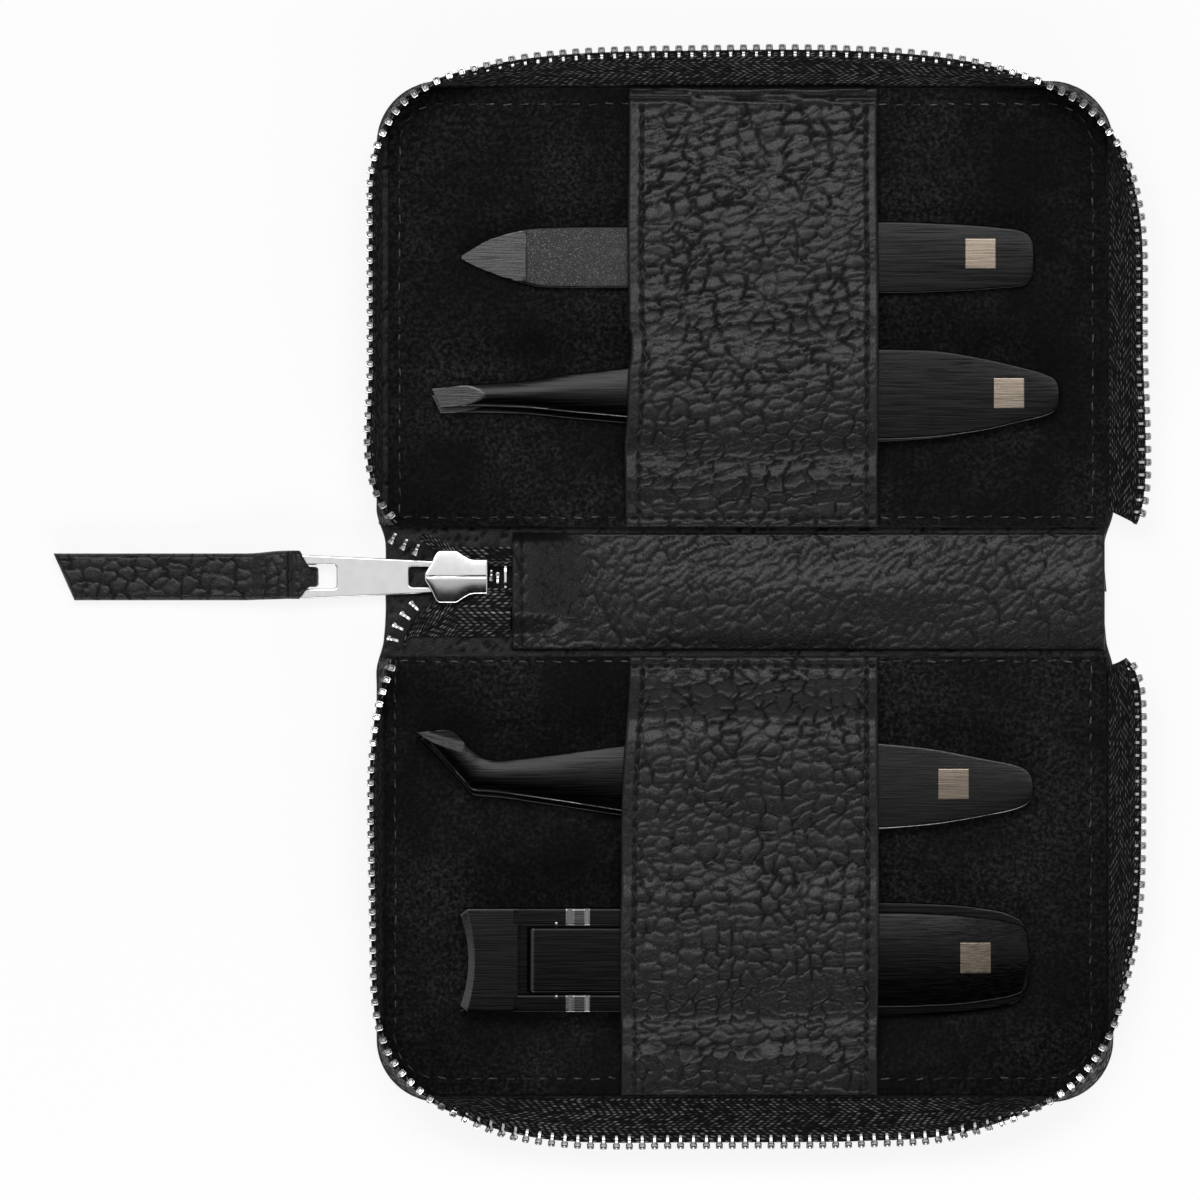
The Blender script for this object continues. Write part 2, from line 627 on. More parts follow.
# %% Metals
def silver_finish(name, dark, light, rough, rim=1.0):
    """Satin silver for the slider, pull and teeth, with faint tumbling marks. Towards a shape's rim, where
    it turns away, it is darker by a share, as tumbled metal is."""
    mat, tree, shader = finish(name, Metallic=1.0)
    marks = node(tree, "ShaderNodeTexNoise", {"Vector": object_place(tree), "Scale": 900.0, "Detail": 3.0})
    tree.links.new(number(tree, marks.outputs["Fac"], *rough), shader.inputs["Roughness"])
    turned = node(tree, "ShaderNodeLayerWeight", {"Blend": 0.5}).outputs["Facing"]
    bright = shades(tree, marks.outputs["Fac"], (dark, dark, dark), (light, light, light))
    dull = (dark * rim, dark * rim, dark * rim)
    tree.links.new(shades(tree, stretch(tree, turned, 0.15, 0.62), bright, dull), shader.inputs["Base Color"])
    bump(tree, shader, marks.outputs["Fac"], 0.000004, 0.3)
    return mat


def steel_finish(name, dark, light, rough=(0.18, 0.27)):
    """Black coated steel, brushed along the tool. Where the mesh says that it was ground or has worn, the
    coat is thinner and lighter."""
    mat, tree, shader = finish(name, Metallic=1.0)
    streak = effect(tree, "brushed", {"Vector": object_place(tree), "Fineness": 5000.0})["Streak"]
    streak = stretch(tree, streak, 0.30, 0.70)
    coated = shades(tree, streak, dark, light)
    tree.links.new(shades(tree, stored(tree, "ground"), coated, (0.26, 0.26, 0.262)),
                   shader.inputs["Base Color"])
    tree.links.new(number(tree, streak, *rough), shader.inputs["Roughness"])
    bump(tree, shader, streak, 0.000010, 0.5)
    return mat


def abrasive_finish():
    """The file's blade: dark grit whose grains glint."""
    mat, tree, shader = finish("dark_file_grit", Metallic=0.7)
    place = object_place(tree)
    grit = node(tree, "ShaderNodeTexVoronoi", {"Vector": place, "Scale": 8500.0})
    chance = node(tree, "ShaderNodeSeparateColor", {0: grit.outputs["Color"]}).outputs[0]
    glint = stretch(tree, chance, 0.80, 1.0)
    soft = node(tree, "ShaderNodeTexNoise", {"Vector": place, "Scale": 2500.0, "Detail": 3.0}).outputs["Fac"]
    tree.links.new(shades(tree, glint, shades(tree, soft, 0.014, 0.030), 0.085), shader.inputs["Base Color"])
    tree.links.new(number(tree, chance, 0.65, 0.4), shader.inputs["Roughness"])
    bump(tree, shader, grit.outputs["Distance"], 0.00004, 0.8)
    return mat


FINISH = {
    "leather": leather_finish("pebbled_leather_finish", 0.0010, (0.0110, 0.0110, 0.0113), 0.24),
    "cover": leather_finish("cover_leather_finish", 0.0040, (0.013, 0.013, 0.0133), 0.34),
    "suede": suede_finish(),
    "tape": tape_finish(),
    "thread": thread_finish("lining_thread_finish", 0.006, 0.085),
    "seam": thread_finish("seam_thread_finish", 0.0015, 0.007),
    "board": board_finish(),
    "silver": silver_finish("silver_zip_finish", 0.58, 0.64, (0.12, 0.20), 0.45),
    "teeth": silver_finish("silver_teeth_finish", 0.36, 0.46, (0.25, 0.35), 0.12),
    "steel": steel_finish("black_steel_finish", (0.0075, 0.0075, 0.0078), (0.0145, 0.0145, 0.0148)),
    "grit": abrasive_finish(),
    "badge": steel_finish("champagne_plate_finish", (0.125, 0.103, 0.082), (0.175, 0.146, 0.117),
                          (0.25, 0.34)),
}
for node_name, node_finish in (("base_board", "board"), ("lid_board", "board"), ("clipper_rivet", "steel"),
                               ("clipper_lever_pin", "steel")):
    nodes[node_name].data.materials.clear()
    nodes[node_name].data.materials.append(FINISH[node_finish])
print("finishes", len(FINISH))

# %% [markdown]
# # The leather cover
# One skin of pebbled leather runs from panel to panel over the spine. Its two halves are separate meshes
# that meet in the middle of the spine, because a mesh can bend at one fold only. The pebbles are real
# height, worked out from scattered cells, so that they also show at the edge and in a mirror. They face
# the table, where the leather's good side is, and its corners peek out past the zip.

# %% Cover halves
LID_COVER = box_mm("lid_cover")
PANEL_FAR = LID_COVER[1][1]
PANEL_HALF = LID_COVER[1][0]
FOLD_Y = 8.9
COVER_CORNER = 9.0
COVER_RIM, COVER_STEP = 0.42, 0.5
SPINE_DRAW_IN = 1.0
PEBBLE, INNER_PEBBLE = (2.7, 2.3), (1.6, 1.3)
PEBBLE_DEPTH, INNER_DEPTH = 0.16, 0.12


def rounded_half(y, far, half, corner):
    """Half width of a panel at a distance from the fold: full, then drawn in along a corner's arc."""
    inside = np.clip(y - (far - corner), 0.0, corner)
    return half - corner + np.sqrt(np.maximum(corner ** 2 - inside ** 2, 0.0))


def cover_half(name, side, seed):
    """Half of the leather skin. Rows run away from the spine's middle, and each row is as wide as the
    panel's outline there. Thickness goes to a rounded edge, and creases sink into the outer face. Inside,
    the skin's turned-in edge shows its pebbles too."""
    low, high = LID_COVER[0][2], LID_COVER[1][2]
    rows = np.concatenate([[0.0], rim_places(PANEL_FAR, COVER_STEP, COVER_RIM)[4:]])
    share = rim_places(2 * PANEL_HALF, COVER_STEP, COVER_RIM) / PANEL_HALF - 1.0
    wave = 0.30 * np.sin(rows / 3.1 + seed) * (1 - smooth((rows - 6.0) / 8.0))
    half = rounded_half(rows, PANEL_FAR, PANEL_HALF, COVER_CORNER)
    half = half - SPINE_DRAW_IN * (1 - smooth((rows - FOLD_Y + 2.0) / 5.0)) + wave
    x = share[None, :] * half[:, None]
    y = np.repeat(rows[:, None], len(share), axis=1)
    edge = np.minimum(half[:, None] * (1 - np.abs(share))[None, :], PANEL_FAR - y)
    thick = round_over(edge, COVER_RIM)
    relief, crease = pebbles(x, side * y, PEBBLE, 11)
    inner, inner_crease = pebbles(x, side * y, INNER_PEBBLE, 12)
    middle = (low + high) / 2
    reach = (high - low) / 2
    top_z = middle + reach * thick - INNER_DEPTH * (1 - inner) * thick
    low_z = middle - reach * thick + PEBBLE_DEPTH * (1 - relief) * thick
    top, under = np.stack([x, side * y, top_z], axis=-1), np.stack([x, side * y, low_z], axis=-1)
    obj = piece(name, loft(sheet_rings(top, under)), FINISH["cover"], sharp=None)
    mark(obj, "relief", sheet_rings(1 - inner_crease, 1 - crease))
    if side > 0:
        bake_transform(obj)
        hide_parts("lid_cover")
    else:
        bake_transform(obj)
        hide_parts("base_cover", "spine_cover")
    return obj


cover_half("lid_leather", 1, 3)
cover_half("base_leather", -1, 4)

# %% [markdown]
# # The suede linings
# A lining is a thin flat panel with two round corners, glued to the board and sewn round its edge. It is
# almost black, so it lives from small things: it isn't quite flat, its edge is turned, and its nap has
# brushed patches.

# %% Linings
LINING = box_mm("lid_lining")
LINING_NEAR, LINING_FAR, LINING_HALF = LINING[0][1], LINING[1][1], LINING[1][0]
SUEDE_TOP = LINING[1][2]
LINING_CORNER = 8.0
LINING_RIM, LINING_STEP = 0.3, 0.9
UNEVEN = 0.06


def lining(prefix, side, left, seed):
    """A thin sheet over the board, uneven by a few hundredths of a millimetre."""
    low, high = LINING[0][2], LINING[1][2]
    rows = rim_places(LINING_FAR - LINING_NEAR, LINING_STEP, LINING_RIM) + LINING_NEAR
    share = rim_places(2 * LINING_HALF, LINING_STEP, LINING_RIM) / LINING_HALF - 1.0
    half = rounded_half(rows, LINING_FAR, LINING_HALF, LINING_CORNER)
    x = share[None, :] * half[:, None]
    x = np.where(x < 0, x * (1 - left / LINING_HALF), x)
    y = np.repeat(rows[:, None], len(share), axis=1)
    edge = np.minimum(half[:, None] * (1 - np.abs(share))[None, :],
                      np.minimum(LINING_FAR - y, y - LINING_NEAR))
    thick = round_over(edge, LINING_RIM)
    middle, reach = (low + high) / 2, (high - low) / 2
    lift = -UNEVEN * clouds(x / 9.0, y / 7.0, seed) * smooth(edge / 2.0)
    top = np.stack([x, side * y, middle + reach * thick + lift], axis=-1)
    under = np.stack([x, side * y, middle - reach * thick], axis=-1)
    obj = piece(prefix + "_suede", loft(sheet_rings(top, under)), FINISH["suede"], sharp=None)
    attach(obj, prefix)
    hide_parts(prefix + "_lining")
    return obj


lining("lid", 1, 0.6, 31)
lining("base", -1, 0.1, 35)

# %% [markdown]
# # The zip's tape and teeth
# The tape is one long strip that stands on the lining's outline and leans outwards. Because its width
# never changes, it stands lower where it leans further, and that gives the wavy wall its look. Its foot
# follows a rounded rectangle and its teeth a superellipse in each quarter, both seen from the same centre.
# The tape carries a cord along its edge, and the teeth are clamped round that cord. One tooth is a small
# loft, stamped along the line in numpy.

# %% Lines of the tape
TAPE_WIDTH = 7.1
TAPE_HALF = 0.25
TAPE_DROP = 1.9
TAPE_DROP_RUN = 15.0
SEAT = 0.25
FOLD_GAP = 0.3
ZIP_CENTRE_X = 1.7
KNEE_Z = SUEDE_TOP + SEAT
FOOT_Z = LID_COVER[1][2] + SEAT
TOOTH_PITCH = 1.83
TOOTH_ALONG = 0.85
ZIPS = {
    "lid": {"side": 1, "from_fold": 32.7, "side_lean": 3.7, "far_lean": 4.8, "in_left": 37.3,
            "in_right": 41.0, "powers": (4.0, 3.2, 6.0, 6.0)},
    "base": {"side": -1, "from_fold": 28.0, "side_lean": 2.7, "far_lean": 6.5, "in_left": 41.8,
             "in_right": 30.0, "powers": (4.3, 3.3, 4.0, 10.0)},
}
ZIP_TRIM = {  # angle in degrees round each half, and how much further out the row lies there
    "lid": [(-30, 0.5), (-18, -0.5), (-6, -0.9), (12, -0.8), (24, -0.1), (31, 0.6), (42, -0.1), (60, -0.1),
            (84, 0.0), (108, -0.15), (128, -0.2), (140, -0.05), (146, 0.75), (151, 1.2), (160, 0.6),
            (172, -0.3), (190, -0.35), (204, 0.4), (215, 0.5)],
    "base": [(-30, 0.3), (-18, 0.0), (0, -0.15), (12, -0.6), (19, -1.05), (30, -0.2), (36, 0.25),
             (46, -0.3), (58, -0.1), (70, -0.4), (104, -0.35), (126, 0.0), (138, -0.4), (144, 0.2),
             (152, 1.0), (168, 0.35), (190, 0.6), (204, 0.3), (215, 0.2)],
}
LINE_POINTS = 6000
LEAST = 0.001


def superellipse(angle, half_x, half_y, power):
    """Distance from the centre: one over the n-th root of |cos/a|^n + |sin/b|^n."""
    return (np.abs(np.cos(angle) / half_x) ** power + np.abs(np.sin(angle) / half_y) ** power) ** (-1 / power)


def rounded_rectangle(angle, half_x, half_y, corner):
    """Distance from the centre to a rectangle whose corners are arcs."""
    dx, dy = np.abs(np.cos(angle)), np.abs(np.sin(angle))
    flat = np.minimum(half_x / np.maximum(dx, LEAST), half_y / np.maximum(dy, LEAST))
    kx, ky = half_x - corner, half_y - corner
    along = dx * kx + dy * ky
    arc = along + np.sqrt(np.maximum(along ** 2 - (kx ** 2 + ky ** 2 - corner ** 2), 0.0))
    return np.where((flat * dx > kx) & (flat * dy > ky), arc, flat)


def tape_lines(trim, side, from_fold, side_lean, far_lean, in_left, in_right, powers):
    """The knee, where the tape starts to lean, and its line of teeth, from the slider round to the far
    end, with the length gone so far. The line is a superellipse in each quarter, plus the trim. Rise is
    the square root of width squared less lean squared."""
    left_out, right_out, left_in, right_in = powers
    centre_y = FOLD_Y + from_fold
    angle = np.linspace(-math.pi / 2, math.pi * 1.5, LINE_POINTS)
    right, out = np.cos(angle) > 0, np.sin(angle) > 0
    power = np.where(out, np.where(right, right_out, left_out), np.where(right, right_in, left_in))
    reach = np.where(out, LINING_FAR + far_lean - centre_y, np.where(right, in_right, in_left))
    top = superellipse(angle, LINING_HALF + side_lean, reach, power)
    top = top + through(*zip(*trim), np.degrees(angle))
    end = centre_y - FOLD_Y - FOLD_GAP - TOOTH_ALONG / 2
    keep = np.sin(angle) * top > -end
    angle, top, right, out = (values[keep][::-1] for values in (angle, top, right, out))
    step_out = SEAT + TAPE_HALF
    foot_x = LINING_HALF + step_out + np.where(right, -ZIP_CENTRE_X, ZIP_CENTRE_X)
    round_foot = rounded_rectangle(angle, foot_x, LINING_FAR + step_out - centre_y, LINING_CORNER + step_out)
    foot = np.where(out, round_foot, foot_x / np.maximum(np.abs(np.cos(angle)), LEAST))
    foot_xy = np.stack([np.cos(angle) * foot, np.maximum(np.sin(angle) * foot, -end)], axis=1)
    top_xy = np.stack([np.cos(angle) * top, np.sin(angle) * top], axis=1)
    lean = np.linalg.norm(top_xy - foot_xy, axis=1)
    rise = np.sqrt(np.maximum(TAPE_WIDTH ** 2 - lean ** 2, (TAPE_WIDTH / 2) ** 2))
    gone = np.concatenate([[0.0], np.cumsum(np.linalg.norm(np.diff(top_xy, axis=0), axis=1))])
    rise = rise - TAPE_DROP * (1 - smooth(gone / TAPE_DROP_RUN))
    turn = np.array([1.0, side])
    centre = np.array([ZIP_CENTRE_X, side * centre_y])
    knee = np.column_stack([foot_xy * turn + centre, np.full(len(rise), KNEE_Z)])
    top = np.column_stack([top_xy * turn + centre, KNEE_Z + rise])
    return knee, top, gone


def at_lengths(line, gone, places):
    """Points of a line at lengths along it."""
    return np.stack([np.interp(places, gone, line[:, k]) for k in range(3)], axis=-1)


ZIP_LINES = {prefix: tape_lines(ZIP_TRIM[prefix], **sizes) for prefix, sizes in ZIPS.items()}
print("zip lengths mm", {prefix: round(lines[2][-1], 1) for prefix, lines in ZIP_LINES.items()})

# %% Tapes
CORD_RADIUS = 0.36
TAPE_STEP = 0.35
TAPE_RIPPLE = 0.10


def tube_along(line, radius, sides=8):
    """A round cord along a line of points: circles square to its direction."""
    ahead = unit(np.gradient(line, axis=0))
    aside = unit(np.cross(ahead, np.array([0.0, 0.0, 1.0])))
    up = np.cross(aside, ahead)
    turn = np.arange(sides) * 2 * math.pi / sides
    circle = np.cos(turn)[None, :, None] * aside[:, None, :] + np.sin(turn)[None, :, None] * up[:, None, :]
    return loft(line[:, None, :] + radius * circle)


def woven_wall(grid, half, name, body, along, across):
    """A tape from a grid of places: pushed out both ways along its normals, with thin sewn edges, plus a
    cord along its last row, and the map that its weave follows."""
    normal = grid_normals(grid)
    columns = grid.shape[1]
    edge = np.minimum(np.arange(columns), np.arange(columns)[::-1])
    thick = half * np.where(edge == 0, 0.4, 1.0)[None, :, None]
    wall = loft(sheet_rings(grid + normal * thick, grid - normal * thick))
    cord = tube_along(grid[:, -1], CORD_RADIUS)
    obj = piece(name, joined([wall, cord]), FINISH["tape"], sharp=40)
    wall_along = sheet_rings(along, along).ravel()
    wall_across = sheet_rings(across, across).ravel()
    cord_along = np.repeat(along[:, -1], 8)
    cord_across = np.tile(np.linspace(0, 2.0, 8), len(grid)) + across.max()
    lay_uv(obj, np.concatenate([wall_along, cord_along]), np.concatenate([wall_across, cord_across]))
    if body:
        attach(obj, body)
    return obj


def zip_tape(prefix, side):
    """The tape wall of one half: up from its foot to the knee, and from there leaning to the teeth."""
    knee, top, gone = ZIP_LINES[prefix]
    places = np.linspace(0.0, gone[-1], int(gone[-1] / TAPE_STEP))
    knee, top = at_lengths(knee, gone, places), at_lengths(top, gone, places)
    foot = np.column_stack([knee[:, :2], np.full(len(knee), FOOT_Z)])
    lean = np.linspace(0.0, 1.0, 17)
    out = unit((top - knee) * (1.0, 1.0, 0.0))
    wave = TAPE_RIPPLE * (clouds(places[:, None] / 5.0, lean[None, :] * 2.0, 60 + side) - 0.5)
    wave = wave * np.sin(math.pi * lean)[None, :]
    wall = knee[:, None, :] * (1 - lean)[None, :, None] + top[:, None, :] * lean[None, :, None]
    wall = wall + out[:, None, :] * wave[:, :, None] * 2
    grid = np.concatenate([foot[:, None, :], (foot + (knee - foot) * 0.7)[:, None, :], wall], axis=1)
    across = np.concatenate([[0.0, 1.4], 2.0 + lean * TAPE_WIDTH])
    along = np.repeat(places[:, None], len(across), axis=1)
    across = np.repeat(across[None, :], len(places), axis=0)
    obj = woven_wall(grid, TAPE_HALF, prefix + "_tape", prefix, along, across)
    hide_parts(prefix + "_zip_tape")
    return obj


zip_tape("lid", 1)
zip_tape("base", -1)

# %% Teeth
TOOTH_RINGS = [  # height over the cord, half length along the zip, half thickness, dimple
    (-0.42, 0.28, 0.60, 0.0), (0.16, 0.30, 0.64, 0.0), (0.30, 0.29, 0.54, 0.0), (0.44, 0.30, 0.46, 0.0),
    (0.62, 0.38, 0.46, 0.05), (0.90, 0.50, 0.56, 0.22), (1.14, 0.50, 0.55, 0.14), (1.26, 0.42, 0.48, 0.06),
    (1.24, 0.29, 0.36, 0.0), (1.00, 0.19, 0.26, 0.0),
]
TOOTH_CORNER_SHARE = 0.62


def tooth_shape():
    """One tooth in its own directions, along, up and across: legs round the cord, a neck, and a round
    head with a dimple in both faces and a pit in its top. Each ring is a rectangle with cut corners."""
    c = TOOTH_CORNER_SHARE
    rings = []
    for up, half_along, half_across, dimple in TOOTH_RINGS:
        inner = half_across - dimple
        side = [(1, -c), (1, c), (c, 1)]
        ring = [(a * half_along, up, b * half_across) for a, b in side]
        ring += [(0.0, up, inner)]
        ring += [(-a * half_along, up, b * half_across) for a, b in side[::-1]]
        ring += [(-c * half_along, up, -half_across), (0.0, up, -inner), (c * half_along, up, -half_across)]
        rings.append(ring)
    return loft(rings)


def stamp(shape, places, along, up):
    """Copies of a shape at many places, turned by two directions each. The third is their cross product."""
    points, faces = shape
    across = np.cross(along, up)
    copies = (places[:, None, :] + points[None, :, :1] * along[:, None, :]
              + points[None, :, 1:2] * up[:, None, :] + points[None, :, 2:] * across[:, None, :])
    start = np.arange(len(places))[:, None, None] * len(points)
    return copies.reshape(-1, 3), (faces[None] + start).reshape(-1, faces.shape[1])


def teeth_on(line, up, gone, offset=0.0):
    """Teeth at an even pitch along a line, with their directions made square to it."""
    count = int((gone[-1] - offset) // TOOTH_PITCH)
    spare = gone[-1] - offset - count * TOOTH_PITCH
    places = offset + spare / 2 + (np.arange(count) + 0.5) * TOOTH_PITCH
    tangent = np.gradient(line, gone, axis=0)
    along = unit(at_lengths(tangent, gone, places))
    rise = at_lengths(up, gone, places)
    rise = unit(rise - along * np.sum(rise * along, axis=1, keepdims=True))
    return stamp(tooth_shape(), at_lengths(line, gone, places), along, rise)


def zip_teeth(prefix):
    """All teeth of one half."""
    knee, top, gone = ZIP_LINES[prefix]
    obj = piece(prefix + "_teeth", teeth_on(top, unit(top - knee), gone), FINISH["teeth"], sharp=50)
    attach(obj, prefix)
    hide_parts(prefix + "_zip_teeth")


zip_teeth("lid")
zip_teeth("base")

# %% [markdown]
# # Where the zip ends
# On the spine both tapes run through the slider and on under the leather strip. A few free teeth lie
# before the slider's nose, meshed ones behind its tail, and a small stop closes the chain.

# %% The zip's end
NOSE = np.array([-45.6, 2.1, 5.1])
SLIDER_LENGTH = 8.9
SLIDER_HALF = 3.75
STOP = box_mm("zip_bottom_stop")
STRIP_START = -33.2
STRIP_RAMP = 9.0
CHAIN_HALF = 1.55
END_LID = {"x": (-0.585, -0.27, -0.02), "y": (8.35, 6.75, 5.95), "reach": 4.25}
END_BASE = {"x": (-0.50, -0.42, -0.05), "y": (-7.95, -4.4, -1.65), "reach": 8.5}


def bend(xs, ys, count):
    """Places along a curve with a start, one bend and an end: the weights are those of a quadratic
    Bezier curve."""
    t = np.linspace(0.0, 1.0, count)
    weights = np.stack([(1 - t) ** 2, 2 * t * (1 - t), t ** 2], axis=1)
    return np.column_stack([weights @ np.array(xs), weights @ np.array(ys), np.full(count, NOSE[2])])


def chain_drop(x):
    """How far the chain has come down to the spine at a place along X."""
    return smooth((x - STOP[1][0]) / (STRIP_START + STRIP_RAMP - STOP[0][0]))


def end_tape(prefix, sizes, side):
    """The tape's last stretch: along the free teeth, through the slider and down under the strip."""
    line = bend([NOSE[0] + SLIDER_LENGTH * share for share in sizes["x"]], sizes["y"], 40)
    up = unit(np.cross(np.gradient(line, axis=0) * side, (0.0, 0.0, 1.0)))
    run = (line - up * 1.25)[4:]
    open_x = np.linspace(NOSE[0] + SLIDER_LENGTH * 0.5, STRIP_START - 0.5, 30)
    under_x = np.linspace(STRIP_START - 0.25, STRIP_START + STRIP_RAMP * 0.4, 12)
    inner_y = NOSE[1] + side * (CHAIN_HALF + 0.3)
    rows = [(*p, sizes["reach"]) for p in (run if side < 0 else run[-8:])]
    rows += [(x, inner_y, NOSE[2], sizes["reach"]) for x in open_x]
    rows += [(x, inner_y, NOSE[2], END_LID["reach"]) for x in under_x]
    rows = np.array(rows)
    x, y, z, wide = (rows[:, k:k + 1] for k in range(4))
    outer = np.maximum(wide, side * (y - NOSE[1]) + 1.0)
    outer = NOSE[1] + side * np.minimum(outer, FOLD_Y - FOLD_GAP - 0.5 - side * NOSE[1])
    share = np.linspace(0.0, 1.0, 18)[None, :]
    y_here = y + (outer - y) * share
    beyond = np.abs(y_here - NOSE[1]) - SLIDER_HALF - 0.6
    fall = np.maximum(smooth(beyond / SLIDER_HALF), chain_drop(x))
    floor = FOOT_Z + TAPE_HALF
    grid = np.stack([x + 0 * y_here, y_here, z + (floor - z) * fall], axis=-1)
    across = np.abs(y_here - y)
    length = np.cumsum(np.concatenate([[0.0], np.linalg.norm(np.diff(rows[:, :2], axis=0), axis=1)]))
    along = np.repeat(length[:, None], share.shape[1], axis=1)
    grid, along, across = grid[:, ::-1], along[:, ::-1], across[:, ::-1]
    obj = woven_wall(grid, 0.2, prefix + "_end_tape", "spine", along, across)
    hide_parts("zip_end_tape_" + prefix)
    gone = np.concatenate([[0.0], np.cumsum(np.linalg.norm(np.diff(line, axis=0), axis=1))])
    teeth = piece(prefix + "_end_teeth", teeth_on(line, up, gone), FINISH["teeth"], sharp=50)
    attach(teeth, "spine")
    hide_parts("zip_end_teeth_" + prefix)


def meshed_chain():
    """The last teeth behind the slider, leaning in from left and right in turn, and the stop."""
    start, end = NOSE[0] + SLIDER_LENGTH * 0.70, STOP[0][0] - 0.3
    half_pitch = TOOTH_PITCH / 2
    x = start + half_pitch / 2 + np.arange(int((end - start) // half_pitch)) * half_pitch
    sign = np.where(np.arange(len(x)) % 2, 1.0, -1.0)
    places = np.stack([x, np.full_like(x, NOSE[1]) + sign * 0.55, np.full_like(x, NOSE[2])], axis=1)
    along = np.stack([sign, 0 * x, 0 * x], axis=1)
    up = np.stack([0 * x, -sign, 0 * x], axis=1)
    points, faces = tooth_shape()
    chain = stamp((points * (0.82, 0.92, 0.95), faces), places, along, up)
    obj = piece("chain_end", chain, FINISH["teeth"], sharp=50)
    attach(obj, "spine")
    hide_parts("zip_chain_end")
    low, high = STOP
    angle = np.linspace(0, 2 * math.pi, 24, endpoint=False)
    reach = rounded_rectangle(angle, (high[1] - low[1]) / 2, (high[2] - low[2]) / 2, 0.35)
    rings = []
    for x_place, share in ((low[0], 0.9), (low[0] + 0.1, 1.0), (high[0] - 0.1, 1.0), (high[0], 0.9)):
        rings.append(np.stack([np.full(24, x_place), NOSE[1] + np.cos(angle) * reach * share,
                               NOSE[2] + np.sin(angle) * reach * share], axis=1))
    stop = piece("bottom_stop", loft(rings), FINISH["silver"], sharp=40)
    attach(stop, "spine")
    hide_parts("zip_bottom_stop")


end_tape("lid", END_LID, 1)
end_tape("base", END_BASE, -1)
meshed_chain()

# %% [markdown]
# # The spine's strip and the two bands
# These are the leather that shows most. Each is a grid with its own long profile, bent in the air where
# it passes over the tools or over the zip's end. The pebbles are pushed out along the surface's normals,
# so they follow the bends. On the bands they are larger and rounder in one half and drawn out in the
# other, as on the real hide.

# %% Spine strip
STRIP_HALF_THICKNESS = 0.45
STRIP_EDGE = 8.35
STRIP_FLAT = 4.6
STRIP_FALLS = (4.0, 1.8)
LEATHER_STEP = 0.235
STRIP_DEPTH = 0.30
END_SEAM = 1.35
STRIP_PITCH = 2.2


def leather_sheet(name, middle, half, edge, relief, crease, depth):
    """A leather sheet about a middle surface. The top carries the pebbles, pushed in along the normal by
    the depth where it is low, and the thickness is rounded over at the edges."""
    normal = grid_normals(middle)
    normal = normal * np.sign(normal[..., 2:3])
    thick = (half * round_over(edge, half))[..., None]
    sunk = (depth * (1 - relief) * (0.35 + 0.65 * smooth(edge / 0.8)))[..., None]
    top = middle + normal * (thick - sunk)
    under = middle - normal * thick
    obj = piece(name, loft(sheet_rings(top, under)), FINISH["leather"], sharp=None)
    shown = np.clip(1.15 - crease - 0.35 * (1 - relief), 0.0, 1.0)
    mark(obj, "relief", sheet_rings(shown, shown * 0.8))
    return obj


def needle_row(along, distance, pitch):
    """A sewn groove at a distance of zero, with a needle hole at every pitch."""
    groove = 1 - smooth(np.abs(distance) / 0.36)
    hole = smooth((np.cos(along * 2 * math.pi / pitch) - 0.1) / 0.5) * (1 - smooth(np.abs(distance) / 0.45))
    return np.maximum(0.55 * groove, hole)


def spine_strip():
    """The strip along the spine. At its left end it is lifted over the zip's end: the lift dies out along
    the strip and falls off to both sides."""
    end = LINING_HALF - 0.2
    x = STRIP_START + rim_places(end - STRIP_START, LEATHER_STEP, 0.45)
    y = rim_places(2 * STRIP_EDGE, LEATHER_STEP, 0.45) - STRIP_EDGE
    grid_x, grid_y = np.meshgrid(x, y, indexing="ij")
    low = LID_COVER[1][2] + SEAT + STRIP_HALF_THICKNESS
    lift = NOSE[2] + 0.5 + SEAT + STRIP_HALF_THICKNESS - low
    along = 1 - smooth((grid_x - STRIP_START) / (STRIP_RAMP * 1.3))
    away = np.abs(grid_y - NOSE[1]) - STRIP_FLAT
    hump = 1 - smooth(away / np.where(grid_y > NOSE[1], STRIP_FALLS[1], STRIP_FALLS[0]))
    edge = np.minimum(np.minimum(grid_x - STRIP_START, end - grid_x), STRIP_EDGE - np.abs(grid_y))
    wave = 0.5 * clouds(grid_x / 11.0, grid_y / 5.0, 71) * smooth(edge / 3.0) * smooth((grid_x + 20) / 12)
    swell = 0.35 * np.cos(grid_y / STRIP_EDGE * math.pi / 2) * smooth((grid_x + 26) / 10)
    middle = np.stack([grid_x, grid_y, low + lift * along * hump + wave + swell], axis=-1)
    relief, crease = wrinkles(grid_x, grid_y, 81)
    sewn = needle_row(grid_y, grid_x - STRIP_START - END_SEAM, STRIP_PITCH)
    relief, crease = np.clip(relief - 0.5 * sewn, 0.0, 1.0), np.maximum(crease, sewn)
    obj = leather_sheet("spine_strip", middle, STRIP_HALF_THICKNESS, edge, relief, crease, STRIP_DEPTH)
    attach(obj, "spine")
    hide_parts("spine_lining")
    return obj


spine_strip()

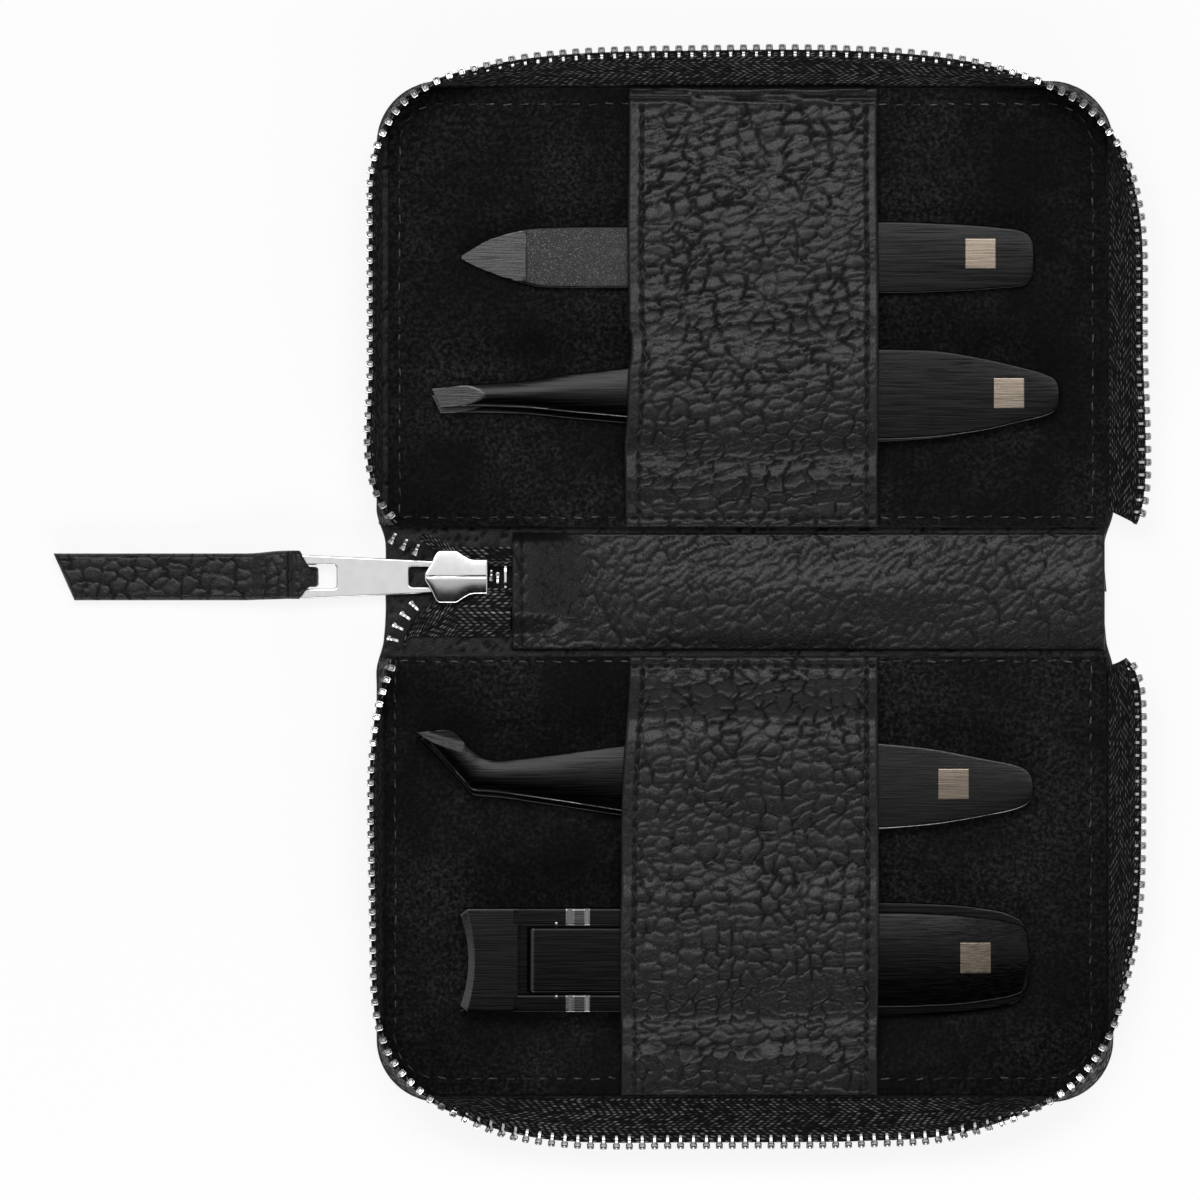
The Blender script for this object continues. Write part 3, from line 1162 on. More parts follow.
# %% Bands
BAND_HALF = 0.55
BAND_LOW = box_mm("lid_band")[0][2] + BAND_HALF
BANDS = {
    "lid": {"side": 1, "seed": 101, "cell": (3.0, 1.75), "slant": 0.12, "folds": 0.7, "depth": 0.32,
            "hem": (2.6, 0.8),
            "line": [(9.2, 0.0), (13.0, 0.05), (16.2, 1.1), (20.8, 3.62), (24.0, 4.05), (28.0, 4.2),
                     (32.5, 4.1), (35.3, 3.7), (40.0, 2.35), (44.5, 1.75), (48.0, 1.7), (53.0, 1.45),
                     (60.0, 0.75), (67.0, 0.15), (69.2, 0.0), (71.8, 0.0)]},
    "base": {"side": -1, "seed": 131, "cell": (2.35, 2.1), "slant": 0.05, "folds": 0.45, "depth": 0.36,
             "hem": (0.9, 0.3),
             "line": [(9.2, 0.0), (11.5, 0.1), (15.0, 1.5), (18.6, 3.4), (22.0, 4.0), (28.0, 4.15),
                      (34.0, 4.05), (39.0, 4.1), (44.0, 4.65), (50.0, 4.9), (54.5, 4.95), (57.2, 4.7),
                      (59.4, 4.4), (61.2, 3.7), (62.6, 2.7), (65.0, 1.0), (67.6, 0.12), (71.8, 0.0)]},
}
BAND_BOX = box_mm("lid_band")
BAND_SEAMS = (1.95, 1.65)
NEEDLE_PITCH = 2.25


def band_sides(prefix, y):
    """Left and right edge of a band at a distance from the spine. The hide isn't cut dead straight."""
    left = np.full_like(y, BAND_BOX[0][0])
    right = np.full_like(y, BAND_BOX[1][0])
    if prefix == "base":
        left = left + 1.2 * (1 - smooth((y - 10.0) / 26.0))
    else:
        left = left + 1.05 + 0.35 * smooth((y - 31.0) / 2.5) * (1 - smooth((y - 36.5) / 1.0))
        left = left - 0.42 * (1 - smooth((y - 20.0) / 6.0))
    return left + 0.08 * np.sin(y / 4.7), right + 0.08 * np.sin(y / 6.1 + 1.0)


def band(prefix, side, seed, cell, slant, folds, depth, hem, line):
    """A leather band over two tools. Its profile is a smooth curve from the sewn end at the spine over
    the tools to the sewn end at the far edge. Outside its sewn rows the leather is pressed smoother, and
    at its far end it is folded into fine wrinkles."""
    near, far = line[0][0], line[-1][0]
    y = near + rim_places(far - near, LEATHER_STEP, BAND_HALF)
    height = BAND_LOW + through(*zip(*line), y)
    left, right = band_sides(prefix, y)
    width = BAND_BOX[1][0] - BAND_BOX[0][0]
    across = rim_places(width, LEATHER_STEP, BAND_HALF)
    share = across / width
    x = left[:, None] + (right - left)[:, None] * share[None, :]
    y_grid = np.repeat(y[:, None], len(share), axis=1)
    from_left, from_right = x - left[:, None], right[:, None] - x
    bulge = 0.30 * (clouds(x / 10.0, y_grid / 8.0, seed + 50) - 0.4)
    held_ends = smooth((y_grid - near) / 6) * smooth((far - y_grid) / 6)
    free = smooth(np.minimum(from_left, from_right) / 2.5) * held_ends
    middle = np.stack([x, side * y_grid, height[:, None] + bulge * free], axis=-1)
    edge = np.minimum(np.minimum(from_left, from_right), np.minimum(y_grid - near, far - y_grid))
    gone = np.concatenate([[0.0], np.cumsum(np.hypot(np.diff(y), np.diff(height)))])[:, None] + 0 * x
    relief, crease = pebbles(x, side * gone, cell, seed, slant=slant, folds=folds)
    pressed = np.minimum(from_left - BAND_SEAMS[0], from_right - BAND_SEAMS[1])
    pressed = 0.25 + 0.75 * smooth((pressed + 0.5) / 0.8)
    relief, crease = 0.62 + (relief - 0.62) * pressed, 0.15 + (crease - 0.15) * pressed
    hem_part = smooth((y_grid - far + hem[0]) / 0.5) * hem[1]
    lines = np.abs(clouds(x / 5.0, gone / 0.55, seed + 60) - 0.5)
    relief = relief * (1 - hem_part) + hem_part * smooth(lines / 0.3)
    crease = crease * (1 - hem_part) + hem_part * (1 - smooth(lines / 0.12))
    sewn = np.maximum(needle_row(gone, from_left - BAND_SEAMS[0], NEEDLE_PITCH),
                      needle_row(gone, from_right - BAND_SEAMS[1], NEEDLE_PITCH))
    sewn = np.maximum(sewn, needle_row(x, y_grid - near - END_SEAM, NEEDLE_PITCH))
    sewn = sewn * (1 - hem_part)
    relief, crease = np.clip(relief - 0.75 * sewn, 0.0, 1.0), np.maximum(crease, sewn)
    obj = leather_sheet(prefix + "_leather_band", middle, BAND_HALF, edge, relief, crease, depth)
    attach(obj, prefix)
    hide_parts(prefix + "_band")
    return obj


for band_name, band_sizes in BANDS.items():
    band(band_name, **band_sizes)

# %% [markdown]
# # Slider, pull and strap
# The slider is two plates joined by a wedge at the nose and closed in by flanges at the tail. Its upper
# plate is a loft along X: each ring crosses two faint slopes that meet in a ridge, and rolls over a small
# rim. The pull is a flat plate with two openings, which a filled flat curve makes best. The strap is a
# short length of the same leather, folded double round the pull's end bar. Leather has no hinge, so it
# bends over a few millimetres when it swings on the bar.

# %% Slider
SLIDER_OUTLINE = [(0.0, 0.12), (0.10, 0.52), (0.19, 0.93), (0.24, 1.0), (0.48, 1.0), (0.62, 0.82),
                  (0.74, 0.68), (0.82, 0.66), (1.0, 0.655)]
SLIDER_BOX = box_mm("slider_body")
PLATE = 0.7
PLATE_RIM = 0.22
LOWER_SETBACK, LOWER_SPREAD = 1.85, 0.25
RIDGE_FALL = {"back": (0.012, 0.05), "front": (0.05, 0.16)}


def slider_plate(low, high, setback, ridge, spread_front=0.0):
    """One plate of the slider. Each ring runs over the top from side to side and back underneath. Its
    half width is a smooth curve. A ridged top falls away to both sides, by a slope and by a curve with the
    fourth power, and the rim and the two ends are rounded over."""
    length = SLIDER_LENGTH - setback
    along = rim_places(length, 0.12, PLATE_RIM)
    share = (along + setback) / SLIDER_LENGTH
    half = SLIDER_HALF * through(*zip(*SLIDER_OUTLINE), share) + spread_front * (1 - smooth(share / 0.6))
    end = np.minimum(along, length - along)
    across = np.concatenate([-1 + 0.12 * (1 - np.cos(np.linspace(0, math.pi / 2, 6))),
                             np.linspace(-0.85, -0.05, 9), [-0.018, 0.0, 0.018]])
    across = np.concatenate([across, -across[:-1][::-1]])
    y = across[None, :] * half[:, None]
    rim = np.minimum(half[:, None] - np.abs(y), end[:, None])
    slope, curve = (np.where(y < 0, *pair) for pair in zip(RIDGE_FALL["front"], RIDGE_FALL["back"]))
    shape = slope * np.abs(y) + curve * across[None, :] ** 4 + 0.05 * (1 - smooth(np.abs(y) / 0.09))
    top = high - (shape if ridge else 0.0) - PLATE_RIM * (1 - round_over(rim, PLATE_RIM))
    upper = np.stack([NOSE[0] + setback + along[:, None] + 0 * y, NOSE[1] + y, top], axis=-1)
    lower = upper * (1, 1, 0) + np.array([0, 0, low])
    return loft(sheet_rings(upper, lower))


def block(low, high):
    """A plain block between two corners."""
    x, y, z = zip(low, high)
    rings = [[(at, y[0], z[0]), (at, y[1], z[0]), (at, y[1], z[1]), (at, y[0], z[1])] for at in x]
    return loft(rings)


def make_slider():
    """Both plates, the wedge between them and the flanges at the tail."""
    low, high = SLIDER_BOX[0][2], SLIDER_BOX[1][2]
    bodies = [slider_plate(high - PLATE - 0.1, high - 0.05, 0.0, True),
              slider_plate(low, low + PLATE, LOWER_SETBACK, False, LOWER_SPREAD)]
    nose = NOSE[0] + 1.2
    wedge = [[(nose, NOSE[1], z), (nose + 0.9, NOSE[1] + 0.9, z), (nose + 2.6, NOSE[1], z),
              (nose + 0.9, NOSE[1] - 0.9, z)] for z in (low + 0.3, high - 0.5)]
    bodies.append(loft(wedge))
    for sign in (-1, 1):
        sides = sorted((NOSE[1] + sign * 1.85, NOSE[1] + sign * 2.45))
        for z in ((low + 0.3, low + 1.4), (high - 1.7, high - 0.5)):
            bodies.append(block((NOSE[0] + 6.3, sides[0], z[0]), (NOSE[0] + 8.6, sides[1], z[1])))
    obj = piece("slider", joined(bodies), FINISH["silver"], sharp=35)
    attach(obj, "slider")
    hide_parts("slider_body")


def soften(obj, width, segments=2, angle=30.0):
    """Round a piece's sharp edges."""
    step = obj.modifiers.new("soft_edges", "BEVEL")
    step.width = width * MM
    step.segments = segments
    step.limit_method = "ANGLE"
    step.angle_limit = math.radians(angle)
    return obj


def make_bridge():
    """The bent strip under the slider that the pull hangs on."""
    low, high = box_mm("slider_bridge")
    profile = [(low[0], high[2]), (low[0], low[2]), (high[0], low[2]), (high[0], high[2]),
               (high[0] - 0.7, high[2]), (high[0] - 0.7, low[2] + 0.5), (low[0] + 0.7, low[2] + 0.5),
               (low[0] + 0.7, high[2])]
    rings = [[(x, y, z) for x, z in profile] for y in (low[1], high[1])]
    number_of = np.arange(8)
    sides = np.stack([number_of, np.roll(number_of, -1), np.roll(number_of, -1) + 8, number_of + 8], axis=1)
    caps = np.array([(0, 7, 6, 1), (1, 6, 5, 2), (2, 5, 4, 3)])
    faces = np.concatenate([sides, caps, caps[:, ::-1] + 8])
    obj = piece("bridge", solid(np.array(rings).reshape(-1, 3), faces), FINISH["silver"])
    soften(obj, 0.12)
    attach(obj, "slider")
    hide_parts("slider_bridge")


make_slider()
make_bridge()

# %% Pull
PULL_BOX = box_mm("pull_tab")
PULL_RIGHT_HALF, PULL_LEFT_HALF = 2.25, 3.2
PULL_HOLE = (1.0, 4.6, 1.45)
PULL_SLOT = (1.3, 6.1, 1.7)
PULL_EDGE = 0.2


def rounded_rectangle_path(x0, x1, y0, y1, corner, steps=6):
    """Outline of a rectangle with round corners, as points."""
    turn = np.linspace(0, math.pi / 2, steps)
    centres = [(x1 - corner, y1 - corner, 0), (x0 + corner, y1 - corner, 1), (x0 + corner, y0 + corner, 2),
               (x1 - corner, y0 + corner, 3)]
    return np.concatenate([np.stack([cx + corner * np.cos(turn + k * math.pi / 2),
                                     cy + corner * np.sin(turn + k * math.pi / 2)], axis=1)
                           for cx, cy, k in centres])


def flat_plate(name, outlines, low, high, edge, material):
    """A plate from flat outlines: a filled curve with a rolled edge, turned into a closed mesh."""
    curve = bpy.data.curves.new(name, "CURVE")
    curve.dimensions = "2D"
    curve.fill_mode = "BOTH"
    curve.extrude = ((high - low) / 2 - edge) * MM
    curve.bevel_depth = edge * MM
    curve.bevel_resolution = 3
    curve.offset = -edge * MM
    for outline in outlines:
        spline = curve.splines.new("POLY")
        spline.points.add(len(outline) - 1)
        for point, (x, y) in zip(spline.points, outline):
            point.co = (x * MM, y * MM, 0.0, 1.0)
        spline.use_cyclic_u = True
    shape = bpy.data.objects.new(name, curve)
    bpy.context.scene.collection.objects.link(shape)
    bpy.context.view_layer.update()
    mesh = bpy.data.meshes.new_from_object(shape.evaluated_get(bpy.context.evaluated_depsgraph_get()))
    bpy.data.objects.remove(shape)
    from_bmesh = bmesh.new()
    from_bmesh.from_mesh(mesh)
    bmesh.ops.remove_doubles(from_bmesh, verts=from_bmesh.verts, dist=0.000003)
    bmesh.ops.recalc_face_normals(from_bmesh, faces=from_bmesh.faces)
    bmesh.ops.translate(from_bmesh, verts=from_bmesh.verts, vec=(0.0, 0.0, (low + high) / 2 * MM))
    from_bmesh.to_mesh(mesh)
    from_bmesh.free()
    mesh.materials.clear()
    mesh.materials.append(material)
    normals = np.zeros(3 * len(mesh.polygons), dtype=np.float32)
    mesh.polygons.foreach_get("normal", normals)
    mesh.polygons.foreach_set("use_smooth", np.abs(normals[2::3]) < 0.999)
    obj = bpy.data.objects.new(name, mesh)
    bpy.context.scene.collection.objects.link(obj)
    print(name, len(mesh.vertices), "points")
    return obj


def make_pull():
    """A plate that widens to its free end, with a hole for the bridge and a slot for the strap."""
    left, right = PULL_BOX[0][0], PULL_BOX[1][0]
    corners = [(right, -PULL_RIGHT_HALF, 0.7), (right, PULL_RIGHT_HALF, 0.7), (left, PULL_LEFT_HALF, 1.3),
               (left, -PULL_LEFT_HALF, 1.3)]
    outline = round_corners([(x, NOSE[1] + y, r) for x, y, r in corners])
    hole = rounded_rectangle_path(right - PULL_HOLE[1], right - PULL_HOLE[0], NOSE[1] - PULL_HOLE[2],
                                  NOSE[1] + PULL_HOLE[2], 0.55)
    slot = rounded_rectangle_path(left + PULL_SLOT[0], left + PULL_SLOT[1], NOSE[1] - PULL_SLOT[2],
                                  NOSE[1] + PULL_SLOT[2], 0.5)
    obj = flat_plate("pull_plate", [outline, hole, slot], PULL_BOX[0][2], PULL_BOX[1][2], PULL_EDGE,
                     FINISH["silver"])
    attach(obj, "pull")
    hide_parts("pull_tab")


def round_corners(corners, steps=7):
    """An outline whose corners are replaced by curves: from each corner, places at its radius towards
    both neighbours, joined by a quadratic Bezier curve through the corner."""
    places = np.array([corner[:2] for corner in corners])
    out = []
    for k, (*_, radius) in enumerate(corners):
        here = places[k]
        back = here + unit(places[k - 1] - here) * radius
        ahead = here + unit(places[(k + 1) % len(places)] - here) * radius
        t = np.linspace(0, 1, steps)[:, None]
        out.append(back * (1 - t) ** 2 + here * 2 * t * (1 - t) + ahead * t ** 2)
    return np.concatenate(out)


# %% Strap
STRAP_BOX = box_mm("pull_strap")
STRAP_HALF = 3.35
STRAP_SLANT = 3.0
STRAP_NECK_X = -64.9
STRAP_BEND = (1.5, 6.0)
STRAP_DEPTHS = (0.24, 0.20)
LOOP_DEPTH = 0.16
LOOP_NARROW, LOOP_WIDE = 1.45, 3.45
LOOP_INNER, LOOP_LAYER = 0.98, 1.04
BAR_X = PULL_BOX[0][0] + 0.65
PULL_Z = (PULL_BOX[0][2] + PULL_BOX[1][2]) / 2


def strap_loop():
    """The loop round the pull's bar, as a ring of sections. It is as wide as the strap on its outside,
    narrows over the top to fit through the slot, and reaches further into the slot than it is round."""
    turn = np.linspace(0, 2 * math.pi, 96, endpoint=False)
    off = np.abs((turn + math.pi) % (2 * math.pi) - math.pi)
    wide = smooth((off - 0.60) / 0.95)[:, None]
    reach = LOOP_INNER + 0.9 * np.maximum(np.cos(turn), 0.0)[:, None] ** 3
    half = LOOP_NARROW + (LOOP_WIDE - LOOP_NARROW) * wide
    rows = []
    for layer, shares in ((1.0, np.linspace(-1, 1, 26)), (0.0, np.linspace(1, -1, 26))):
        rows.append(np.column_stack([np.full(26, layer), shares]))
    ring = np.concatenate(rows)
    rim = np.minimum(1 - np.abs(ring[:, 1]), 1.0)[None, :] * half
    slim = LOOP_LAYER / 2 * round_over(rim, 0.45)
    relief, crease = pebbles(turn[:, None] * 2.0 + 0 * rim, ring[:, 1][None, :] * half, (1.9, 1.7), 171)
    outer = ring[:, 0][None, :] > 0.5
    middle = reach + LOOP_LAYER / 2
    radius = np.where(outer, middle + slim - LOOP_DEPTH * (1 - relief), middle - slim)
    y = NOSE[1] + 0.3 * wide + ring[:, 1][None, :] * half
    x, z = BAR_X + np.cos(turn)[:, None] * radius, PULL_Z + np.sin(turn)[:, None] * radius
    return loft(np.stack([x, y, z], axis=-1), closed=True), 1 - 0.9 * crease


def make_strap():
    """Two layers of leather as one body with rounded sides, wide and pebbled, and the loop of the same
    leather round the bar."""
    far = STRAP_BOX[0][0]
    x = far + rim_places(STRAP_NECK_X - far, 0.22, 0.5)
    turned = (x - far) / (STRAP_NECK_X - far)
    half = STRAP_HALF + 0.1 * smooth((turned - 0.85) / 0.1)
    centre = through([0.0, 0.3, 0.75, 1.0], [1.42, 1.45, 2.0, PULL_Z], turned)
    swell = 0.45 * smooth((turned - 0.82) / 0.10)
    across = rim_places(2.0, 0.22 / STRAP_HALF, 0.14) - 1.0
    y = across[None, :] * half[:, None] + 0.3 * smooth((turned - 0.8) / 0.2)[:, None]
    slant = STRAP_SLANT * (0.5 - across / 2)[None, :] * (1 - smooth(turned / 0.35))[:, None]
    edge = np.minimum((1 - np.abs(across))[None, :] * half[:, None],
                      np.minimum(x - far, STRAP_NECK_X - x)[:, None])
    reach = 1.15 * round_over(edge, 0.7)
    x_grid = x[:, None] + slant
    relief, crease = pebbles(x_grid, y, (2.3, 1.9), 161, slant=0.1, folds=0.4)
    sunk = (1 - relief) * smooth(edge / 0.8)
    top_z = centre[:, None] + swell[:, None] + reach - STRAP_DEPTHS[0] * sunk
    low_z = centre[:, None] - reach + STRAP_DEPTHS[1] * sunk
    top = np.stack([x_grid, NOSE[1] + y, top_z], axis=-1)
    under = np.stack([x_grid, NOSE[1] + y, np.maximum(low_z, 0.26)], axis=-1)
    loop, loop_relief = strap_loop()
    obj = piece("pull_strap_leather", joined([loft(sheet_rings(top, under)), loop]), FINISH["leather"],
                sharp=None)
    mark(obj, "relief", np.concatenate([sheet_rings(1 - crease, 1 - crease).ravel(), loop_relief.ravel()]))
    near, far = (((BAR_X - step) * MM, NOSE[1] * MM, PULL_Z * MM) for step in STRAP_BEND)
    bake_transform(obj)
    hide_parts("pull_strap")


make_pull()
make_strap()

# %% [markdown]
# # Flat steel tools
# A file or a pair of tweezers is a flat blank cut to an outline and ground. So a blade here is a loft
# along X between two outlines, each a smooth curve through hand-chosen shares of its length and width.
# Every ring crosses a faintly crowned face with rounded edges. Where a tip is ground, a slanted plane
# cuts the face lower.

# %% Blades
FILE = {"x0": -40.55, "y": 47.6, "length": 81.7, "width": 10.3, "thick": 1.2, "low": 3.35}
TWEEZERS = {"x0": -44.6, "y": 28.0, "length": 89.4, "width": 13.0, "thick": 1.1, "low": 3.35}
NIPPER = {"x0": -47.05, "y": -27.7, "length": 88.1, "width": 13.0, "thick": 1.1, "low": 3.35}
TIP_GAP = 2.0
RUN_GAP = 0.3
FILE_SHARES = [
    (0.002, 0.02, 0.002, -0.02), (0.018, 0.10, 0.018, -0.09), (0.049, 0.24, 0.049, -0.20),
    (0.086, 0.34, 0.086, -0.31), (0.115, 0.40, 0.114, -0.37), (0.150, 0.42, 0.146, -0.42),
    (0.240, 0.43, 0.240, -0.43), (0.360, 0.43, 0.360, -0.43), (0.430, 0.46, 0.430, -0.46),
    (0.520, 0.49, 0.520, -0.50), (0.730, 0.50, 0.730, -0.50), (0.860, 0.47, 0.860, -0.475),
    (0.930, 0.43, 0.930, -0.44), (0.968, 0.395, 0.972, -0.41), (0.989, 0.33, 0.990, -0.36),
    (0.998, 0.20, 0.997, -0.26), (1.000, 0.06, 0.999, -0.12),
]
TWEEZERS_SHARES = [
    (0.000, 0.066, 0.014, -0.138), (0.052, 0.110, 0.062, -0.132), (0.136, 0.143, 0.136, -0.143),
    (0.225, 0.231, 0.225, -0.198), (0.311, 0.297, 0.311, -0.253), (0.430, 0.400, 0.430, -0.360),
    (0.550, 0.480, 0.550, -0.450), (0.640, 0.510, 0.640, -0.490), (0.712, 0.505, 0.712, -0.495),
    (0.789, 0.495, 0.789, -0.473), (0.875, 0.407, 0.875, -0.396), (0.939, 0.308, 0.939, -0.297),
    (0.976, 0.235, 0.976, -0.235), (0.993, 0.17, 0.993, -0.17), (0.999, 0.07, 0.999, -0.07),
]
NIPPER_SHARES = [
    (0.001, 0.600, 0.006, 0.585), (0.054, 0.630, 0.050, 0.270), (0.091, 0.415, 0.073, 0.100),
    (0.114, 0.311, 0.096, -0.048), (0.137, 0.290, 0.137, -0.075), (0.222, 0.350, 0.222, -0.155),
    (0.336, 0.450, 0.331, -0.270), (0.430, 0.500, 0.430, -0.370), (0.560, 0.520, 0.560, -0.450),
    (0.660, 0.510, 0.660, -0.480), (0.749, 0.477, 0.749, -0.468), (0.829, 0.422, 0.829, -0.429),
    (0.917, 0.311, 0.917, -0.335), (0.972, 0.235, 0.972, -0.255), (0.992, 0.16, 0.992, -0.18),
    (0.999, 0.06, 0.999, -0.08),
]
ACROSS = np.concatenate([-1 + 0.10 * (1 - np.cos(np.linspace(0.0, math.pi / 2, 6))),
                         np.linspace(-0.8, 0.8, 15),
                         1 - 0.10 * (1 - np.cos(np.linspace(math.pi / 2, 0.0, 6)))])
EDGE_ROUND = 0.26
STEM_CROWN, REAR_CROWN = 0.42, 0.10
THINNEST = 0.35
STATIONS = 240
WORN_EDGE = 0.16


def stem_crown(share):
    """How much lower than its middle a blade's face is at the sides: round stem, nearly flat rear."""
    return STEM_CROWN + (REAR_CROWN - STEM_CROWN) * smooth((share - 0.40) / 0.24)


def blade_body(shares, sizes, lift, shift=None, crown=stem_crown, cut=None, worn=None, rear=0.0):
    """A blade as a body, and how far each of its points is ground. At each station the two outline points
    are joined across. The face falls from its middle by the crown times the square of the place across,
    and is rounded over at the edges. A cut lowers it to a plane and marks it, worn marks its front edge,
    and rear marks its rear."""
    rows = np.arange(len(shares))
    fine = np.linspace(0, rows[-1], STATIONS)
    columns = [through(rows, column, fine) for column in zip(*shares)]
    along = [sizes["x0"] + columns[k] * sizes["length"] for k in (0, 2)]
    aside = [sizes["y"] + columns[k] * sizes["width"] for k in (1, 3)]
    upper, lower = np.stack([along[0], aside[0]], 1), np.stack([along[1], aside[1]], 1)
    if shift is not None:
        upper[:, 1] += shift(columns[0])
        lower[:, 1] += shift(columns[2])
    share = ((ACROSS + 1) / 2)[None, :, None]
    plan = lower[:, None, :] * (1 - share) + upper[:, None, :] * share
    width = np.linalg.norm(upper - lower, axis=1)[:, None]
    station = ((columns[0] + columns[2]) / 2)[:, None]
    edge = np.minimum(width * (1 - np.abs(ACROSS))[None, :] / 2, plan[-1, :, 0].max() - plan[..., 0])
    round_edge = EDGE_ROUND * (1 - round_over(edge, EDGE_ROUND))
    base = sizes["low"] + lift(station)
    top = base + sizes["thick"] - round_edge - crown(station) * ACROSS[None, :] ** 2
    ground = rear * smooth((station - 0.55) / 0.2) + np.zeros_like(top)
    if cut is not None:
        level, amount = cut(plan)
        ground = np.where(base + level < top, amount, ground)
        top = np.minimum(top, base + level)
    if worn is not None:
        at_edge = width * (1 + ACROSS)[None, :] / 2 < WORN_EDGE
        ground = np.maximum(ground, np.where(at_edge, worn(station), 0.0))
    top = np.maximum(top, base + THINNEST)
    body = loft(sheet_rings(np.dstack([plan, top]), np.dstack([plan, base + round_edge])))
    return body, sheet_rings(ground, 0.3 * ground)


def flat_lift(share):
    return np.zeros_like(share)


def upper_lift(thick):
    """The upper leaf of a pair rises evenly from the joined rear to the tips."""
    return lambda share: thick + RUN_GAP + (TIP_GAP - RUN_GAP) * (1 - share)


def lower_shift(amount):
    """The lower leaf shows beside the upper one towards the tips."""
    return lambda share: -amount * smooth((1 - share) / 0.8)


def tool(name, body, ground, node_name, rides, slot="black_steel"):
    """A finished steel piece that stands for its node."""
    obj = piece(name, body, FINISH["steel"], sharp=32)
    mark(obj, "ground", ground)
    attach(obj, rides)
    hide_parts(node_name)
    return obj


# %% Nail file
GRIT_START, GRIT_END = -31.2, 19.0
FILE_CROWN = 0.10
FACET_TONE = 0.11


def file_crown(share):
    return FILE_CROWN + 0 * share


def file_cut(plan):
    """The tip is ground thinner towards its point, up to a straight line where the grit starts."""
    behind = plan[..., 0] - GRIT_START
    return np.where(behind < 0, FILE["thick"] - 0.06 + behind * 0.042, FILE["thick"] + 1.0), FACET_TONE


def grit_skin():
    """The abrasive lies on the blade as a thin rough skin that ends in a straight line at the tip."""
    x = np.linspace(GRIT_START, GRIT_END, 200)
    share = (x - FILE["x0"]) / FILE["length"]
    places = [row[0] for row in FILE_SHARES[1:]]
    upper = through(places, [row[1] for row in FILE_SHARES[1:]], share) * FILE["width"] - 0.12
    lower = through(places, [row[3] for row in FILE_SHARES[1:]], share) * FILE["width"] + 0.12
    across = np.linspace(0, 1, 36)[None, :]
    y = lower[:, None] * (1 - across) + upper[:, None] * across
    x_grid = x[:, None] + 0 * y
    rough = 0.025 * clouds(x_grid * 5.0, y * 5.0, 201)
    edge = np.minimum(across, 1 - across) * (upper - lower)[:, None]
    crown = FILE_CROWN * (2 * across - 1) ** 2
    z = FILE["low"] + FILE["thick"] - crown + 0.03 + rough - 0.26 * (1 - round_over(edge + 0.05, 0.3))
    top = np.stack([x_grid, FILE["y"] + y, z], axis=-1)
    under = top - np.array([0.0, 0.0, 0.25])
    return loft(sheet_rings(top, under))


tool("file_blank", *blade_body(FILE_SHARES, FILE, flat_lift, crown=file_crown, cut=file_cut),
     "nail_file", "file", slot="dark_file")
grit = piece("file_grit", grit_skin(), FINISH["grit"], sharp=None)
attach(grit, "file")

# %% Tweezers and cuticle tweezers
SLANT_END = -37.2
HOOK_LINE = (-21.5, -0.28, -44.1)
HOOK_END = -34.0


def slant_cut(plan):
    """The slanted tips are ground flat. The plane sinks from its end until it is past the crown's depth,
    so its rear edge comes out as a D, and from there it runs nearly level to the tip."""
    before = SLANT_END - plan[..., 0]
    depth = np.minimum(0.15 * before, 0.38 + 0.02 * (before - 2.4))
    return TWEEZERS["thick"] + np.where(before > 0, -depth, 1.0), FACET_TONE


def hook_cut(plan):
    """The hooked tips are ground level beyond a slanting line across the hook, in front of its end."""
    beyond = plan[..., 1] - HOOK_LINE[0] - HOOK_LINE[1] * (plan[..., 0] - HOOK_LINE[2])
    beyond = np.where(plan[..., 0] < HOOK_END, beyond, -1.0)
    return NIPPER["thick"] + np.where(beyond > 0, -0.10 - 0.28 * smooth(beyond / 1.3), 1.0), 0.0


def tweezer_pair(prefix, shares, sizes, cut, amount, worn, rear, rear_body, leaf_body):
    """The lower leaf lies on the suede, and the upper one rises from the joined rear to the tips."""
    tool(prefix + "_lower", *blade_body(shares, sizes, flat_lift, lower_shift(amount), cut=cut),
         prefix + "_lower_leaf", rear_body)
    upper = blade_body(shares, sizes, upper_lift(sizes["thick"]), cut=cut, worn=worn, rear=rear)
    tool(prefix + "_upper", *upper, prefix + "_upper_leaf", leaf_body)


def tweezers_wear(share):
    return np.where(share < 0.5, 0.3, 0.1)


def nipper_wear(share):
    return np.where(share < 0.115, 1.0, 0.4)


tweezer_pair("tweezers", TWEEZERS_SHARES, TWEEZERS, slant_cut, 0.9, tweezers_wear, 0.0,
             "tweezers", "tweezers_leaf")
tweezer_pair("nipper", NIPPER_SHARES, NIPPER, hook_cut, 0.8, nipper_wear, 0.04, "nipper", "nipper_leaf")

# %% [markdown]
# # The clipper
# A slim nail clipper has a lower shell, an upper jaw with a window, and a lever that lies in the window
# and on the shell. Its jaws end in hollow cutting edges. The shell and the jaw are sheets, so they are
# grids of places with a thickness, and the lever is a loft with a crowned back.

# %% Clipper
CLIPPER_Y = -52.4
EDGE_X = -39.4
JAW_HALF = 7.4
JAW_HOLLOW = 1.2
SHEET = 1.0
LOWER_Z = 3.85
UPPER_Z = 6.95
TAIL_Z = 5.1
MIDDLE_Z = 5.4
WINDOW = (7.0, 33.0, 4.9)
BEVEL = (0.9, 0.30)
STEP_UP, STEP_DOWN, STEP = (13.8, 1.3), (16.4, 0.9), 0.3
STEP_TONES = (0.55, 0.70, 0.22)
PIN = {"x": 12.5, "y": 5.2, "rise": 0.62, "radius": 0.24}
LEVER_START = 8.0
LEVER_TOP = [(0.35, 6.75), (1.2, 7.5), (6.0, 7.55), (43.0, 7.55), (51.6, 7.43), (60.2, 7.07), (67.4, 6.2),
             (71.7, 5.5)]


